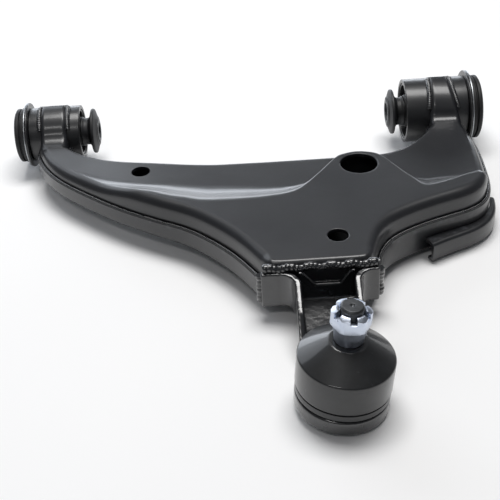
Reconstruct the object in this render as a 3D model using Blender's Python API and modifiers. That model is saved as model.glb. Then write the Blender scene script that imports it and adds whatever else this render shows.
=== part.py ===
"""Lower control arm: a welded steel pressing with two rubber bushes and a ball joint on its nose.

+X runs along the pivot axis towards the front (larger) bush, +Y from the ball joint to the pivot axis
and +Z up. The design is drawn from the middle of the ball joint's base, then set down so that its box
stands on z = 0 with the origin under its middle. Units are metres.
"""

import math

import bmesh
import bpy
import numpy as np

# Driving sizes of the arm
PIVOT_REACH = 0.341  # ball joint axis to pivot axis
PIVOT_HEIGHT = 0.031  # pivot axis above the ball joint's base
NOSE_REACH = 0.096  # ball joint axis to the front edge of the pressings
REAR_OFFSET = 0.2255  # ball joint axis to the middle of the rear bush, along X
FRONT_OFFSET = 0.124
SHEET = 0.003
GAP = 0.0003  # between pieces that touch on the real arm

# Heights and radii of the pressings
SHELF_HEIGHT = 0.038
PLATEAU_HEIGHT = 0.047
SEAM_HEIGHT = 0.028  # top of the lower shell's wall
SKIRT_ABOVE_FLOOR = 0.009
FRONT_EDGE_RADIUS = SHEET + 0.005  # each bend's outer radius is the sheet and its inner radius
BACK_EDGE_RADIUS = SHEET + 0.0015
SADDLE_EDGE_RADIUS = SHEET + 0.001
FLOOR_EDGE_RADIUS = SHEET + 0.003
FLOOR_ALONG = ((-1.07, 0.0125), (-0.53, 0.0115), (-0.3, 0.009), (0.25, 0.007), (0.45, 0.001), (1.2, 0.004))

# Holes in the upper shell: across and along the plan, then the radius
BIG_HOLE = (0.327, 0.533, 0.0155)
SMALL_HOLE = (0.097, 0.122, 0.008)
REAR_HOLE = (-0.635, 0.63, 0.008)

# Leg ends over the bush tubes: width at the foot and at the top, and the shift of the middle
REAR_LEG = (0.024, 0.024, 0.0)
FRONT_LEG = (0.028, 0.0235, 0.0055)
SADDLE_STATIONS = 4
FOOT_TUCK = 0.6  # share of the edge radius that the corner at a leg end's foot turns in by

# Bushes: tube, can, rubber, sleeve, bumper and stopper
REAR_TUBE_RADIUS = 0.0245
REAR_TUBE_LENGTH = 0.046
REAR_BUMPER_RADIUS = 0.025
REAR_STOPPER_RADIUS = 0.0205
REAR_NECK_RADIUS = 0.0127
REAR_BORE_RADIUS = 0.0072
FRONT_TUBE_RADIUS = 0.029
FRONT_TUBE_LENGTH = 0.056
FRONT_BUMPER_RADIUS = 0.0295
FRONT_STOPPER_RADIUS = 0.0205
FRONT_NECK_RADIUS = 0.0131
FRONT_BORE_RADIUS = 0.0082
TUBE_WALL = 0.0035
CAN_WALL = 0.0015
FLANGE_LIP = 0.005  # how far each can's flange stands out beyond its tube
FLANGE_THICKNESS = 0.0035
BUMPER_LENGTH = 0.0095
STOPPER_STAND_OFF = 0.009
STOPPER_RIM = 0.0028
STOPPER_DOME = 0.003
SLEEVE_WALL = 0.0035
SLEEVE_PROUD = 0.0006

# Ball joint, measured along its own axis from its base
JOINT_TILT = math.radians(5.0)
BALL_RADIUS = 0.0135
SEAT_WALL = 0.0019
RUNNING_GAP = 0.00035
HOUSING_BOTTOM = 0.0008
GROOVE_LIP = 0.0005
GROOVE_WIDTH = 0.0017
GROOVE_DEPTH = 0.0011
CLOSURE_PLATE = 0.0012
BALL_HEIGHT = HOUSING_BOTTOM + GROOVE_LIP + GROOVE_WIDTH + GAP + CLOSURE_PLATE + 0.0005 + BALL_RADIUS
CAVITY_RADIUS = BALL_RADIUS + 2 * SEAT_WALL + 3 * RUNNING_GAP
HOUSING_RADIUS = CAVITY_RADIUS + 0.00415
HOUSING_TOP = BALL_HEIGHT + 0.0125
COUNTERBORE_RADIUS = HOUSING_RADIUS - 0.003
COUNTERBORE_TOP = 0.0062
EYE_RADIUS = HOUSING_RADIUS + GAP + 0.0094
EYE_HEIGHT = 0.0115
SPIGOT_RADIUS = HOUSING_RADIUS + GAP + 0.0047
SPIGOT_TOP = EYE_HEIGHT + 0.007
BOOT_RADIUS = SPIGOT_RADIUS + 0.005
BOOT_WALL = 0.0031
BOOT_BASE = EYE_HEIGHT + 0.0014
BOOT_RIM = BOOT_BASE + 0.0283
BOOT_TOP = BOOT_RIM + 0.0137
CLAMP_HEIGHT = 0.0044
NECK_RADIUS = 0.0072
SHOULDER_RADIUS = 0.0092
SHOULDER_BASE = BOOT_TOP - 0.0064
STUD_RADIUS = 0.0078
STUD_PROUD = 0.0028
NUT_BASE = BOOT_TOP + GAP
NUT_SHOULDER = NUT_BASE + 0.0133
NUT_TOP = NUT_BASE + 0.0248
STUD_TOP = NUT_TOP + STUD_PROUD
NUT_ACROSS_FLATS = 0.024
NUT_SEAT_RADIUS = 0.0096
NUT_CORNER_RADIUS = 0.0133
NUT_SLOT_WIDTH = 0.0045
NUT_SLOT_DEPTH = 0.0048
NUT_TURN = math.radians(-1.0)

# Ball joint carrier
NECK_HALF_WIDTH = 0.024
CARRIER_SHEET = 0.005
BEND_RADIUS = 0.010
WING_LEFT = 0.024  # how far each wing stands out beyond the neck's wall
WING_RIGHT = 0.015
WING_HEIGHT = 0.041
WING_FLOOR = 0.011

# Side bracket under the front wing, as stations of the outline
BRACKET_DEPTH = (0.011, 0.0045)  # at its two ends
BRACKET_TOP = 0.016
BRACKET_FLOOR = -0.001
BRACKET_SHEET = 0.0025
BRACKET_FROM = 21.3
BRACKET_TO = 24.9

ROUND = 32  # sides of a turned piece
FINE_ROUND = 48

# The arm's plan, station by station from the rear bush round the nose to the front bush. Each pair is
# the back edge and the front edge. Across is a share of that side's bush offset, and along runs from
# 0 at the nose to 1 at the pivot axis.
STATIONS = (
    ((-0.927, 0.837), (-1.047, 0.824)),
    ((-0.878, 0.788), (-1.011, 0.747)),
    ((-0.807, 0.749), (-0.945, 0.661)),
    ((-0.710, 0.718), (-0.829, 0.559)),
    ((-0.594, 0.698), (-0.701, 0.461)),
    ((-0.470, 0.673), (-0.568, 0.380)),
    ((-0.355, 0.657), (-0.461, 0.322)),
    ((-0.248, 0.655), (-0.373, 0.249)),
    ((-0.151, 0.653), (-0.293, 0.163)),
    ((-0.089, 0.653), (-0.235, 0.078)),
    ((-0.066, 0.653), (-0.208, 0.033)),
    ((-0.049, 0.653), (-0.186, 0.008)),
    ((-0.031, 0.653), (-0.151, 0.000)),
    ((-0.009, 0.653), (-0.071, 0.000)),
    ((0.048, 0.653), (0.032, 0.000)),
    ((0.113, 0.653), (0.161, 0.000)),
    ((0.161, 0.653), (0.242, 0.004)),
    ((0.202, 0.653), (0.290, 0.024)),
    ((0.274, 0.653), (0.331, 0.094)),
    ((0.339, 0.653), (0.379, 0.151)),
    ((0.403, 0.653), (0.468, 0.204)),
    ((0.476, 0.655), (0.629, 0.253)),
    ((0.548, 0.661), (0.815, 0.294)),
    ((0.621, 0.673), (1.008, 0.331)),
    ((0.694, 0.694), (1.121, 0.388)),
    ((0.782, 0.735), (1.169, 0.478)),
    ((0.855, 0.780), (1.185, 0.596)),
    ((0.911, 0.829), (1.190, 0.718)),
)

# Where the low shelf along the back ends, and where the raised plateau and its boss round the big hole
# begin. The sheet slopes between the two lines.
SLOPE_FOOT = (
    (-1.162, 0.833),
    (-1.002, 0.702),
    (-0.878, 0.678),
    (-0.754, 0.604),
    (-0.634, 0.563),
    (-0.523, 0.543),
    (-0.408, 0.522),
    (-0.262, 0.502),
    (-0.151, 0.482),
    (-0.027, 0.486),
    (0.097, 0.571),
    (0.185, 0.629),
    (0.331, 0.651),
    (0.476, 0.629),
    (0.573, 0.571),
    (0.685, 0.478),
    (0.855, 0.478),
    (1.016, 0.478),
    (1.145, 0.506),
    (1.331, 0.571),
)
SLOPE_CREST = (
    (-1.162, 0.710),
    (-1.002, 0.588),
    (-0.834, 0.490),
    (-0.621, 0.445),
    (-0.537, 0.404),
    (-0.470, 0.380),
    (-0.404, 0.355),
    (-0.266, 0.351),
    (-0.160, 0.359),
    (-0.062, 0.384),
    (0.016, 0.461),
    (0.177, 0.576),
    (0.242, 0.600),
    (0.331, 0.610),
    (0.419, 0.600),
    (0.484, 0.576),
    (0.565, 0.498),
    (0.653, 0.412),
    (0.710, 0.367),
    (0.847, 0.380),
    (1.024, 0.424),
    (1.169, 0.449),
    (1.331, 0.482),
)


def clear_scene():
    for found in list(bpy.data.objects):
        bpy.data.objects.remove(found)


def new_collection(name):
    made = bpy.data.collections.new(name)
    bpy.context.scene.collection.children.link(made)
    return made


def new_material(name, colour, roughness, metallic):
    made = bpy.data.materials.new(name)
    made.use_nodes = True
    shader = made.node_tree.nodes["Principled BSDF"]
    shader.inputs["Base Color"].default_value = (*colour, 1.0)
    shader.inputs["Roughness"].default_value = roughness
    shader.inputs["Metallic"].default_value = metallic
    return made


clear_scene()
ARM = new_collection("control_arm")
CUTTERS = new_collection("cutters")
PAINT = new_material("satin_black_paint", (0.02, 0.022, 0.026), 0.35, 0.2)
RUBBER = new_material("black_rubber", (0.018, 0.018, 0.02), 0.55, 0.0)
ZINC = new_material("bright_zinc", (0.62, 0.66, 0.72), 0.25, 1.0)
STEEL = new_material("bare_steel", (0.35, 0.36, 0.38), 0.35, 1.0)
PLASTIC = new_material("bearing_plastic", (0.75, 0.73, 0.66), 0.5, 0.0)

PLACE = bpy.data.objects.new("arm_place", None)
ARM.objects.link(PLACE)
JOINT_PLACE = bpy.data.objects.new("ball_joint_place", None)
ARM.objects.link(JOINT_PLACE)
JOINT_PLACE.rotation_euler = (0.0, JOINT_TILT, 0.0)
JOINT_PLACE.parent = PLACE


def add_object(name, mesh, material, parent=PLACE):
    made = bpy.data.objects.new(name, mesh)
    if material:
        mesh.materials.append(material)
        ARM.objects.link(made)
    else:
        CUTTERS.objects.link(made)
        made.hide_render = True
        made.display_type = "WIRE"
    made.parent = parent
    return made


def turned(name, profile, material, parent=PLACE, steps=ROUND, closed=True):
    """A profile of (radius, height) points, down its outer side, turned about the object's own Z."""
    mesh = bpy.data.meshes.new(name)
    points = [(radius, 0.0, height) for radius, height in profile]
    edges = [(i, i + 1) for i in range(len(points) - 1)]
    if closed:
        edges.append((len(points) - 1, 0))
    mesh.from_pydata(points, edges, [])
    made = add_object(name, mesh, material, parent)
    screw = made.modifiers.new("turn", "SCREW")
    screw.steps = steps
    screw.render_steps = steps
    screw.use_merge_vertices = True
    screw.merge_threshold = 1e-5
    screw.use_smooth_shade = True
    return made


def extruded(name, outline, low, high, axis, material, parent=PLACE):
    """A closed outline swept from low to high along an axis. For X the outline is (y, z), for Y (x, z)."""
    shape = bmesh.new()
    to_3d = {
        "X": lambda a, b, at: (at, a, b),
        "Y": lambda a, b, at: (a, at, b),
        "Z": lambda a, b, at: (a, b, at),
    }[axis]
    face = shape.faces.new([shape.verts.new(to_3d(a, b, low)) for a, b in outline])
    swept = bmesh.ops.extrude_face_region(shape, geom=[face])
    moved = [item for item in swept["geom"] if isinstance(item, bmesh.types.BMVert)]
    shift = [high - low if name_ == axis else 0.0 for name_ in "XYZ"]
    bmesh.ops.translate(shape, verts=moved, vec=shift)
    bmesh.ops.recalc_face_normals(shape, faces=shape.faces)
    mesh = bpy.data.meshes.new(name)
    shape.to_mesh(mesh)
    shape.free()
    return add_object(name, mesh, material, parent)


def block(name, low, high, material=None, parent=PLACE):
    outline = ((low[0], low[1]), (high[0], low[1]), (high[0], high[1]), (low[0], high[1]))
    return extruded(name, outline, low[2], high[2], "Z", material, parent)


def cylinder(name, radius, low, high, parent=PLACE, steps=FINE_ROUND):
    profile = ((0.0, high), (radius, high), (radius, low), (0.0, low))
    return turned(name, profile, None, parent, steps, closed=False)


def combine(target, other, operation):
    step = target.modifiers.new(f"{operation.lower()} {other.name}", "BOOLEAN")
    step.object = other
    step.operation = operation
    step.solver = "EXACT"
    return target


def cut(target, cutter):
    return combine(target, cutter, "DIFFERENCE")


def join(target, piece):
    return combine(target, piece, "UNION")


def arc(centre, radius, start, end, count):
    """Points of a circular arc, from one angle in degrees to another."""
    angles = [math.radians(start + (end - start) * i / count) for i in range(count + 1)]
    return [(centre[0] + radius * math.cos(a), centre[1] + radius * math.sin(a)) for a in angles]


# The arm's plan


def plan_point(across, along):
    side = REAR_OFFSET if across < 0 else FRONT_OFFSET
    return np.array((across * side, NOSE_REACH + along * (PIVOT_REACH - NOSE_REACH)))


def leg_ends(offset, leg, reach, width_share):
    """Back and front edges of a leg end over its tube, as x values, at this y."""
    foot, top, shift = leg
    half = (foot + (top - foot) * width_share) / 2
    middle = abs(offset) + shift * (1.0 - 0.35 * width_share)
    side = math.copysign(1.0, offset)
    inner = np.array((side * (middle - half), reach))
    outer = np.array((side * (middle + half), reach))
    return inner, outer


def saddle_angles(radius):
    """From the foot of a leg end's curl, just above the shelf, to the top of the tube."""
    foot = math.asin((SHELF_HEIGHT + 0.002 - PIVOT_HEIGHT) / radius)
    return np.linspace(foot, math.pi / 2, SADDLE_STATIONS + 1)


def offset_curve(points, distance):
    """The curve moved sideways by a distance, with mitred corners. Positive is to the curve's right."""
    points = np.asarray(points)
    steps = np.diff(points, axis=0)
    steps /= np.linalg.norm(steps, axis=1)[:, None]
    before = np.vstack((steps[:1], steps))
    after = np.vstack((steps, steps[-1:]))
    right = np.stack((before[:, 1] + after[:, 1], -before[:, 0] - after[:, 0]), axis=1)
    right /= np.linalg.norm(right, axis=1)[:, None]
    cosine = right[:, 0] * after[:, 1] - right[:, 1] * after[:, 0]
    return points + right * (distance / cosine)[:, None]


def beyond(line, points):
    """Signed distance from a line across the plan: positive on its nose side."""
    line = np.array([plan_point(*at) for at in line])
    best = np.full(len(points), np.inf)
    signed = np.zeros(len(points))
    for start, end in zip(line[:-1], line[1:]):
        run = end - start
        share = np.clip(((points - start) @ run) / (run @ run), 0.0, 1.0)
        away = points - start - share[:, None] * run
        distance = np.linalg.norm(away, axis=1)
        side = away[:, 0] * run[1] - away[:, 1] * run[0]
        nearer = distance < best - 1e-9
        best = np.where(nearer, distance, best)
        signed = np.where(nearer, np.copysign(distance, side), signed)
    return signed


def slope_share(points):
    """0 on the low shelf and 1 on the raised plateau, for each (x, y)."""
    points = np.asarray(points)
    past_foot = np.maximum(beyond(SLOPE_FOOT, points), 0.0)
    short_of_crest = np.maximum(-beyond(SLOPE_CREST, points), 0.0)
    return past_foot / np.maximum(past_foot + short_of_crest, 1e-6)


def smoothed(values):
    padded = np.concatenate((values[:1], values, values[-1:]))
    return 0.25 * padded[:-2] + 0.5 * padded[1:-1] + 0.25 * padded[2:]


def slope_crossings(first, last):
    """Where each line across the arm leaves the shelf and where it reaches the plateau, as shares."""
    shares = np.linspace(0.0, 1.0, 101)
    feet = []
    crests = []
    for start, end in zip(first, last):
        raised = slope_share(start + np.outer(shares, end - start))
        low = shares[raised < 0.01]
        foot = min(max(low.max(), 0.03), 0.7) if low.size else 0.03
        high = shares[(raised > 0.99) & (shares > foot)]
        crest = high.min() if high.size else 0.9
        feet.append(foot)
        crests.append(min(max(crest, foot + 0.06), 0.78))
    return np.array(feet), np.array(crests)


def top_height(points):
    return SHELF_HEIGHT + (PLATEAU_HEIGHT - SHELF_HEIGHT) * slope_share(points)


def floor_height(points):
    offsets = np.where(points[:, 0] < 0, REAR_OFFSET, FRONT_OFFSET)
    across, heights = zip(*FLOOR_ALONG)
    return np.interp(points[:, 0] / offsets, across, heights)


def outline(rear_ends, front_ends):
    """Back and front edges of the whole arm, with the leg ends put on."""
    middle = [(plan_point(*back), plan_point(*front)) for back, front in STATIONS]
    pairs = rear_ends + middle + front_ends
    return np.array([back for back, _ in pairs]), np.array([front for _, front in pairs])


def loft(name, rows, material):
    """A sheet between equal rows of points, each row running along the arm."""
    grid = np.array(rows)
    columns = grid.shape[1]
    faces = []
    for r in range(len(grid) - 1):
        for c in range(columns - 1):
            first = r * columns + c
            faces.append((first, first + columns, first + columns + 1, first + 1))
    mesh = bpy.data.meshes.new(name)
    mesh.from_pydata(grid.reshape(-1, 3).tolist(), [], faces)
    return add_object(name, mesh, material)


def thicken(target, thickness):
    wall = target.modifiers.new("sheet", "SOLIDIFY")
    wall.thickness = thickness
    wall.offset = -1.0
    wall.use_even_offset = True
    return target


def lifted(points, heights):
    return np.column_stack((points, np.broadcast_to(heights, len(points))))


def tube_cutter(name, side, radius):
    middle = side * (REAR_OFFSET if side < 0 else FRONT_OFFSET)
    cutter = cylinder(name, radius + GAP, -0.06, 0.06)
    cutter.rotation_euler = (0.0, math.pi / 2, 0.0)
    cutter.location = (middle, PIVOT_REACH, PIVOT_HEIGHT)
    return cutter


REAR_CUT = tube_cutter("rear_tube_space", -1, REAR_TUBE_RADIUS)
FRONT_CUT = tube_cutter("front_tube_space", 1, FRONT_TUBE_RADIUS)


def saddle(offset, leg, tube_radius):
    """Stations of the upper shell over one tube, from its foot to the top.

    Each is (inner edge, outer edge, height, the direction that the sheet faces in the YZ plane).
    """
    radius = tube_radius + GAP + SHEET
    found = []
    angles = saddle_angles(radius)
    for i, angle in enumerate(angles):
        reach = PIVOT_REACH - radius * math.cos(angle)
        inner, outer = leg_ends(offset, leg, reach, i / (len(angles) - 1))
        facing = angle if i else (angle + math.pi / 2) / 2
        tuck = 1.0 if i else FOOT_TUCK
        outwards = (-tuck * math.cos(facing), tuck * math.sin(facing))
        found.append((inner, outer, PIVOT_HEIGHT + radius * math.sin(angle), outwards))
    return found


def upper_shell():
    rear = saddle(-REAR_OFFSET, REAR_LEG, REAR_TUBE_RADIUS)[::-1]
    front = saddle(FRONT_OFFSET, FRONT_LEG, FRONT_TUBE_RADIUS)
    back, edge = outline([pair[:2] for pair in rear], [pair[:2] for pair in front])
    on_saddle = np.array([True] * len(rear) + [False] * len(STATIONS) + [True] * len(front))
    saddle_height = np.array([p[2] for p in rear] + [0.0] * len(STATIONS) + [p[2] for p in front])
    facing = np.array([p[3] for p in rear] + [(0.0, 1.0)] * len(STATIONS) + [p[3] for p in front])

    def surface(points):
        return np.where(on_saddle, saddle_height, top_height(points))

    def edge_rows(curve, inward, full_radius):
        """Wall, rounded edge and first row of the top, from the skirt up. It is plumb past the seam."""
        radius = np.where(on_saddle, SADDLE_EDGE_RADIUS, full_radius)
        radius[[len(rear), -len(front) - 1]] = (SADDLE_EDGE_RADIUS + full_radius) / 2
        sideways = (offset_curve(curve, inward) - curve) * radius[:, None]
        top = surface(curve + sideways)
        rows = [
            lifted(curve, floor_height(curve) + SKIRT_ABOVE_FLOOR),
            lifted(curve, SEAM_HEIGHT + SHEET / 3),
        ]
        for turn in (0.0, 30.0, 60.0, 90.0):
            angle = math.radians(turn)
            below = radius * (1.0 - math.sin(angle))
            row = lifted(curve + sideways * (1.0 - math.cos(angle)), top)
            row[:, 1:] -= facing * below[:, None]
            rows.append(row)
        return rows

    front_rows = edge_rows(edge, -1.0, FRONT_EDGE_RADIUS)
    back_rows = edge_rows(back, 1.0, BACK_EDGE_RADIUS)
    first = back_rows[-1][:, :2]
    last = front_rows[-1][:, :2]
    foot, crest = slope_crossings(first, last)
    foot = smoothed(np.where(on_saddle, 0.25, foot))
    crest = smoothed(np.where(on_saddle, 0.5, crest))
    inside = []
    for share in (foot * 0.5, foot, (foot + crest) / 2, crest, 0.65 * crest + 0.35, 0.3 * crest + 0.7):
        points = first + (last - first) * share[:, None]
        inside.append(lifted(points, surface(points)))
    shell = loft("upper_shell", back_rows + inside + front_rows[::-1], PAINT)
    thicken(shell, SHEET)
    for name, (across, along, hole) in (("big", BIG_HOLE), ("small", SMALL_HOLE), ("rear", REAR_HOLE)):
        at = plan_point(across, along)
        cutter = cylinder(f"{name}_hole", hole, 0.025, 0.06, steps=ROUND)
        cutter.location = (at[0], at[1], 0.0)
        cut(shell, cutter)
    cut(shell, REAR_CUT)
    cut(shell, FRONT_CUT)
    return shell


def lower_outline():
    """The upper shell's outline, but for the tops of its saddles."""
    rear = saddle(-REAR_OFFSET, REAR_LEG, REAR_TUBE_RADIUS)[-2::-1]
    front = saddle(FRONT_OFFSET, FRONT_LEG, FRONT_TUBE_RADIUS)[:-1]
    return outline([pair[:2] for pair in rear], [pair[:2] for pair in front])


def lower_shell():
    back, edge = lower_outline()
    out = SHEET + GAP
    back = offset_curve(back, -out)
    edge = offset_curve(edge, out)
    floor = 0.5 * (floor_height(back) + floor_height(edge))

    def edge_rows(curve, inward):
        rows = [lifted(curve, SEAM_HEIGHT)]
        for turn in (0.0, 45.0, 90.0):
            angle = math.radians(turn)
            moved = offset_curve(curve, inward * FLOOR_EDGE_RADIUS * (1.0 - math.cos(angle)))
            rows.append(lifted(moved, floor + FLOOR_EDGE_RADIUS * (1.0 - math.sin(angle))))
        return rows

    rows = edge_rows(edge, -1.0) + edge_rows(back, 1.0)[::-1]
    shell = loft("lower_shell", rows, PAINT)
    thicken(shell, SHEET)
    room = block(
        "carrier_space",
        (-NECK_HALF_WIDTH - WING_LEFT - 0.02, NOSE_REACH - 0.03, -0.02),
        (NECK_HALF_WIDTH + WING_RIGHT + 0.02, NOSE_REACH, 0.06),
    )
    cut(shell, room)
    cut(shell, REAR_CUT)
    cut(shell, FRONT_CUT)
    return shell


def side_bracket():
    """A channel along the front corner: top flange, outer wall and bottom flange, open at both ends."""
    _, edge = lower_outline()
    near = offset_curve(edge, SHEET + 2 * GAP)
    outwards = offset_curve(edge, 1.0) - edge
    stations = np.arange(len(edge), dtype=float)
    between = np.arange(math.ceil(BRACKET_FROM), BRACKET_TO)
    at = np.concatenate(((BRACKET_FROM,), between, (BRACKET_TO,))) + SADDLE_STATIONS

    def along(curve):
        return np.column_stack([np.interp(at, stations, curve[:, k]) for k in (0, 1)])

    near = along(near)
    outwards = along(outwards)
    depth = np.linspace(*BRACKET_DEPTH, len(near))[:, None]
    round_off = 0.003
    far = near + outwards * depth
    inner = near + outwards * (depth - round_off)
    lip = near + outwards * depth * 0.4
    rows = (
        lifted(near, BRACKET_TOP),
        lifted(inner, BRACKET_TOP),
        lifted(far, BRACKET_TOP - round_off),
        lifted(far, BRACKET_FLOOR + round_off),
        lifted(inner, BRACKET_FLOOR),
        lifted(lip, BRACKET_FLOOR),
    )
    return thicken(loft("side_bracket", rows, PAINT), BRACKET_SHEET)


# Bushes


def bush(prefix, side, tube_radius, length, bumper, stopper, neck, bore):
    """All pieces of one bush. Their own +Z points outwards, to the flange end."""
    middle = side * (REAR_OFFSET if side < 0 else FRONT_OFFSET)
    half = length / 2
    bore_wall = tube_radius - TUBE_WALL
    can_radius = bore_wall - GAP
    can_bore = can_radius - CAN_WALL
    flange = tube_radius + FLANGE_LIP
    rubber_radius = can_bore - GAP
    sleeve_radius = bore + SLEEVE_WALL
    rubber_bore = sleeve_radius + GAP
    flange_base = half + GAP
    flange_top = flange_base + FLANGE_THICKNESS
    bumper_base = flange_top + GAP
    bumper_top = bumper_base + BUMPER_LENGTH
    sleeve_top = bumper_top + SLEEVE_PROUD
    disc_back = -half - STOPPER_STAND_OFF
    disc_rim = disc_back - STOPPER_RIM
    disc_face = disc_rim - STOPPER_DOME
    sleeve_base = disc_face - SLEEVE_PROUD
    bead = FLANGE_THICKNESS / 2

    def piece(name, profile, material):
        made = turned(f"{prefix}_{name}", profile, material)
        made.rotation_euler = (0.0, side * math.pi / 2, 0.0)
        made.location = (middle, PIVOT_REACH, PIVOT_HEIGHT)
        return made

    piece(
        "bush_tube",
        ((bore_wall, half), (tube_radius, half), (tube_radius, -half), (bore_wall, -half)),
        PAINT,
    )
    piece(
        "outer_can",
        (
            (can_bore, flange_top),
            (flange - 0.4 * bead, flange_top),
            (flange, flange_top - bead),
            (flange - 0.4 * bead, flange_base),
            (can_radius, flange_base),
            (can_radius, -half + 0.001),
            (can_bore, -half + 0.001),
        ),
        STEEL,
    )
    piece(
        "rubber",
        (
            (rubber_bore, half),
            (rubber_radius, half - 0.003),
            (rubber_radius, -half + 0.007),
            (rubber_radius - 0.006, -half + 0.009),
            (neck + 0.001, -half + 0.0005),
            (rubber_bore, -half + 0.0005),
        ),
        RUBBER,
    )
    piece(
        "inner_sleeve",
        ((bore, sleeve_top), (sleeve_radius, sleeve_top), (sleeve_radius, sleeve_base), (bore, sleeve_base)),
        STEEL,
    )
    groove = BUMPER_LENGTH * 0.45
    piece(
        "bumper_ring",
        (
            (rubber_bore, bumper_top),
            (bumper - 0.003, bumper_top),
            (bumper - 0.0005, bumper_top - 0.0015),
            (bumper - 0.0005, bumper_base + groove + 0.001),
            (bumper - 0.0015, bumper_base + groove),
            (bumper, bumper_base + groove - 0.001),
            (bumper, bumper_base),
            (rubber_bore, bumper_base),
        ),
        RUBBER,
    )
    piece(
        "stopper_disc",
        (
            (rubber_bore, -half),
            (neck, -half),
            (neck, disc_back - 0.0005),
            (neck + 0.0025, disc_back + 0.0005),
            (stopper, disc_back - 0.0006),
            (stopper, disc_rim),
            (stopper * 0.7, disc_rim - 0.7 * STOPPER_DOME),
            (rubber_bore + 0.002, disc_face),
            (rubber_bore, disc_face),
        ),
        RUBBER,
    )


# Ball joint


def sphere_arc(radius, low, high, count):
    """Points of a ball's side about the ball centre, between two heights from it, top first."""
    start = math.degrees(math.asin(high / radius))
    end = math.degrees(math.asin(low / radius))
    return arc((0.0, BALL_HEIGHT), radius, start, end, count)


def joint_piece(name, profile, material, steps=FINE_ROUND, closed=True):
    return turned(name, profile, material, JOINT_PLACE, steps, closed)


def ball_joint():
    bearing_in = BALL_RADIUS + RUNNING_GAP
    bearing_out = bearing_in + SEAT_WALL
    liner_in = bearing_out + RUNNING_GAP
    liner_out = liner_in + SEAT_WALL
    groove = COUNTERBORE_RADIUS + GROOVE_DEPTH
    groove_low = HOUSING_BOTTOM + GROOVE_LIP
    groove_high = groove_low + GROOVE_WIDTH
    cavity_arc = sphere_arc(CAVITY_RADIUS, COUNTERBORE_TOP - BALL_HEIGHT, HOUSING_TOP - BALL_HEIGHT, 10)
    joint_piece(
        "ball_joint_housing",
        [
            (HOUSING_RADIUS - 0.0025, HOUSING_TOP),
            (HOUSING_RADIUS, HOUSING_TOP - 0.0015),
            (HOUSING_RADIUS, HOUSING_BOTTOM),
            (COUNTERBORE_RADIUS, HOUSING_BOTTOM),
            (COUNTERBORE_RADIUS, groove_low),
            (groove, groove_low),
            (groove, groove_high),
            (COUNTERBORE_RADIUS, groove_high),
            (COUNTERBORE_RADIUS, COUNTERBORE_TOP),
        ]
        + cavity_arc[::-1],
        PAINT,
    )
    joint_piece(
        "bearing_liner",
        sphere_arc(liner_out, -0.006, 0.008, 6) + sphere_arc(liner_in, -0.006, 0.008, 6)[::-1],
        PLASTIC,
    )
    joint_piece(
        "swivel_bearing",
        sphere_arc(bearing_out, -0.007, 0.0085, 6) + sphere_arc(bearing_in, -0.007, 0.0085, 6)[::-1],
        PLASTIC,
    )
    neck_meets_ball = math.sqrt(BALL_RADIUS**2 - NECK_RADIUS**2)
    flat_radius = 0.007
    flat_at = -math.sqrt(BALL_RADIUS**2 - flat_radius**2)
    drill = 0.0018
    joint_piece(
        "ball_stud",
        [
            (0.0, STUD_TOP - drill),
            (drill, STUD_TOP),
            (STUD_RADIUS - 0.0012, STUD_TOP),
            (STUD_RADIUS, STUD_TOP - 0.0012),
            (STUD_RADIUS, BOOT_TOP),
            (SHOULDER_RADIUS, BOOT_TOP - 0.0004),
            (SHOULDER_RADIUS, SHOULDER_BASE + 0.002),
            (NECK_RADIUS, SHOULDER_BASE),
        ]
        + sphere_arc(BALL_RADIUS, flat_at, neck_meets_ball, 8)
        + [(0.0, BALL_HEIGHT + flat_at)],
        STEEL,
        closed=False,
    )
    plate_base = groove_high + GAP
    plate_top = plate_base + CLOSURE_PLATE
    washer_base = plate_top + GAP
    plate_radius = COUNTERBORE_RADIUS - GAP
    joint_piece(
        "closure_plate",
        ((0.0, plate_top), (plate_radius, plate_top), (plate_radius, plate_base), (0.0, plate_base)),
        ZINC,
        closed=False,
    )
    joint_piece(
        "preload_washer",
        (
            (0.0095, washer_base + 0.0009),
            (plate_radius, washer_base + 0.0005),
            (plate_radius, washer_base),
            (0.0095, washer_base + 0.0004),
        ),
        STEEL,
    )
    ring_low = groove_low + GAP
    ring_high = groove_high - GAP
    snap_ring = joint_piece(
        "snap_ring",
        (
            (groove - 0.0035, ring_high),
            (groove - GAP, ring_high),
            (groove - GAP, ring_low),
            (groove - 0.0035, ring_low),
        ),
        STEEL,
    )
    ring_gap = block("snap_ring_gap", (-0.004, -0.03, -0.01), (0.004, -0.01, 0.01), None, JOINT_PLACE)
    cut(snap_ring, ring_gap)
    dust_boot()
    castle_nut()


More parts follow.
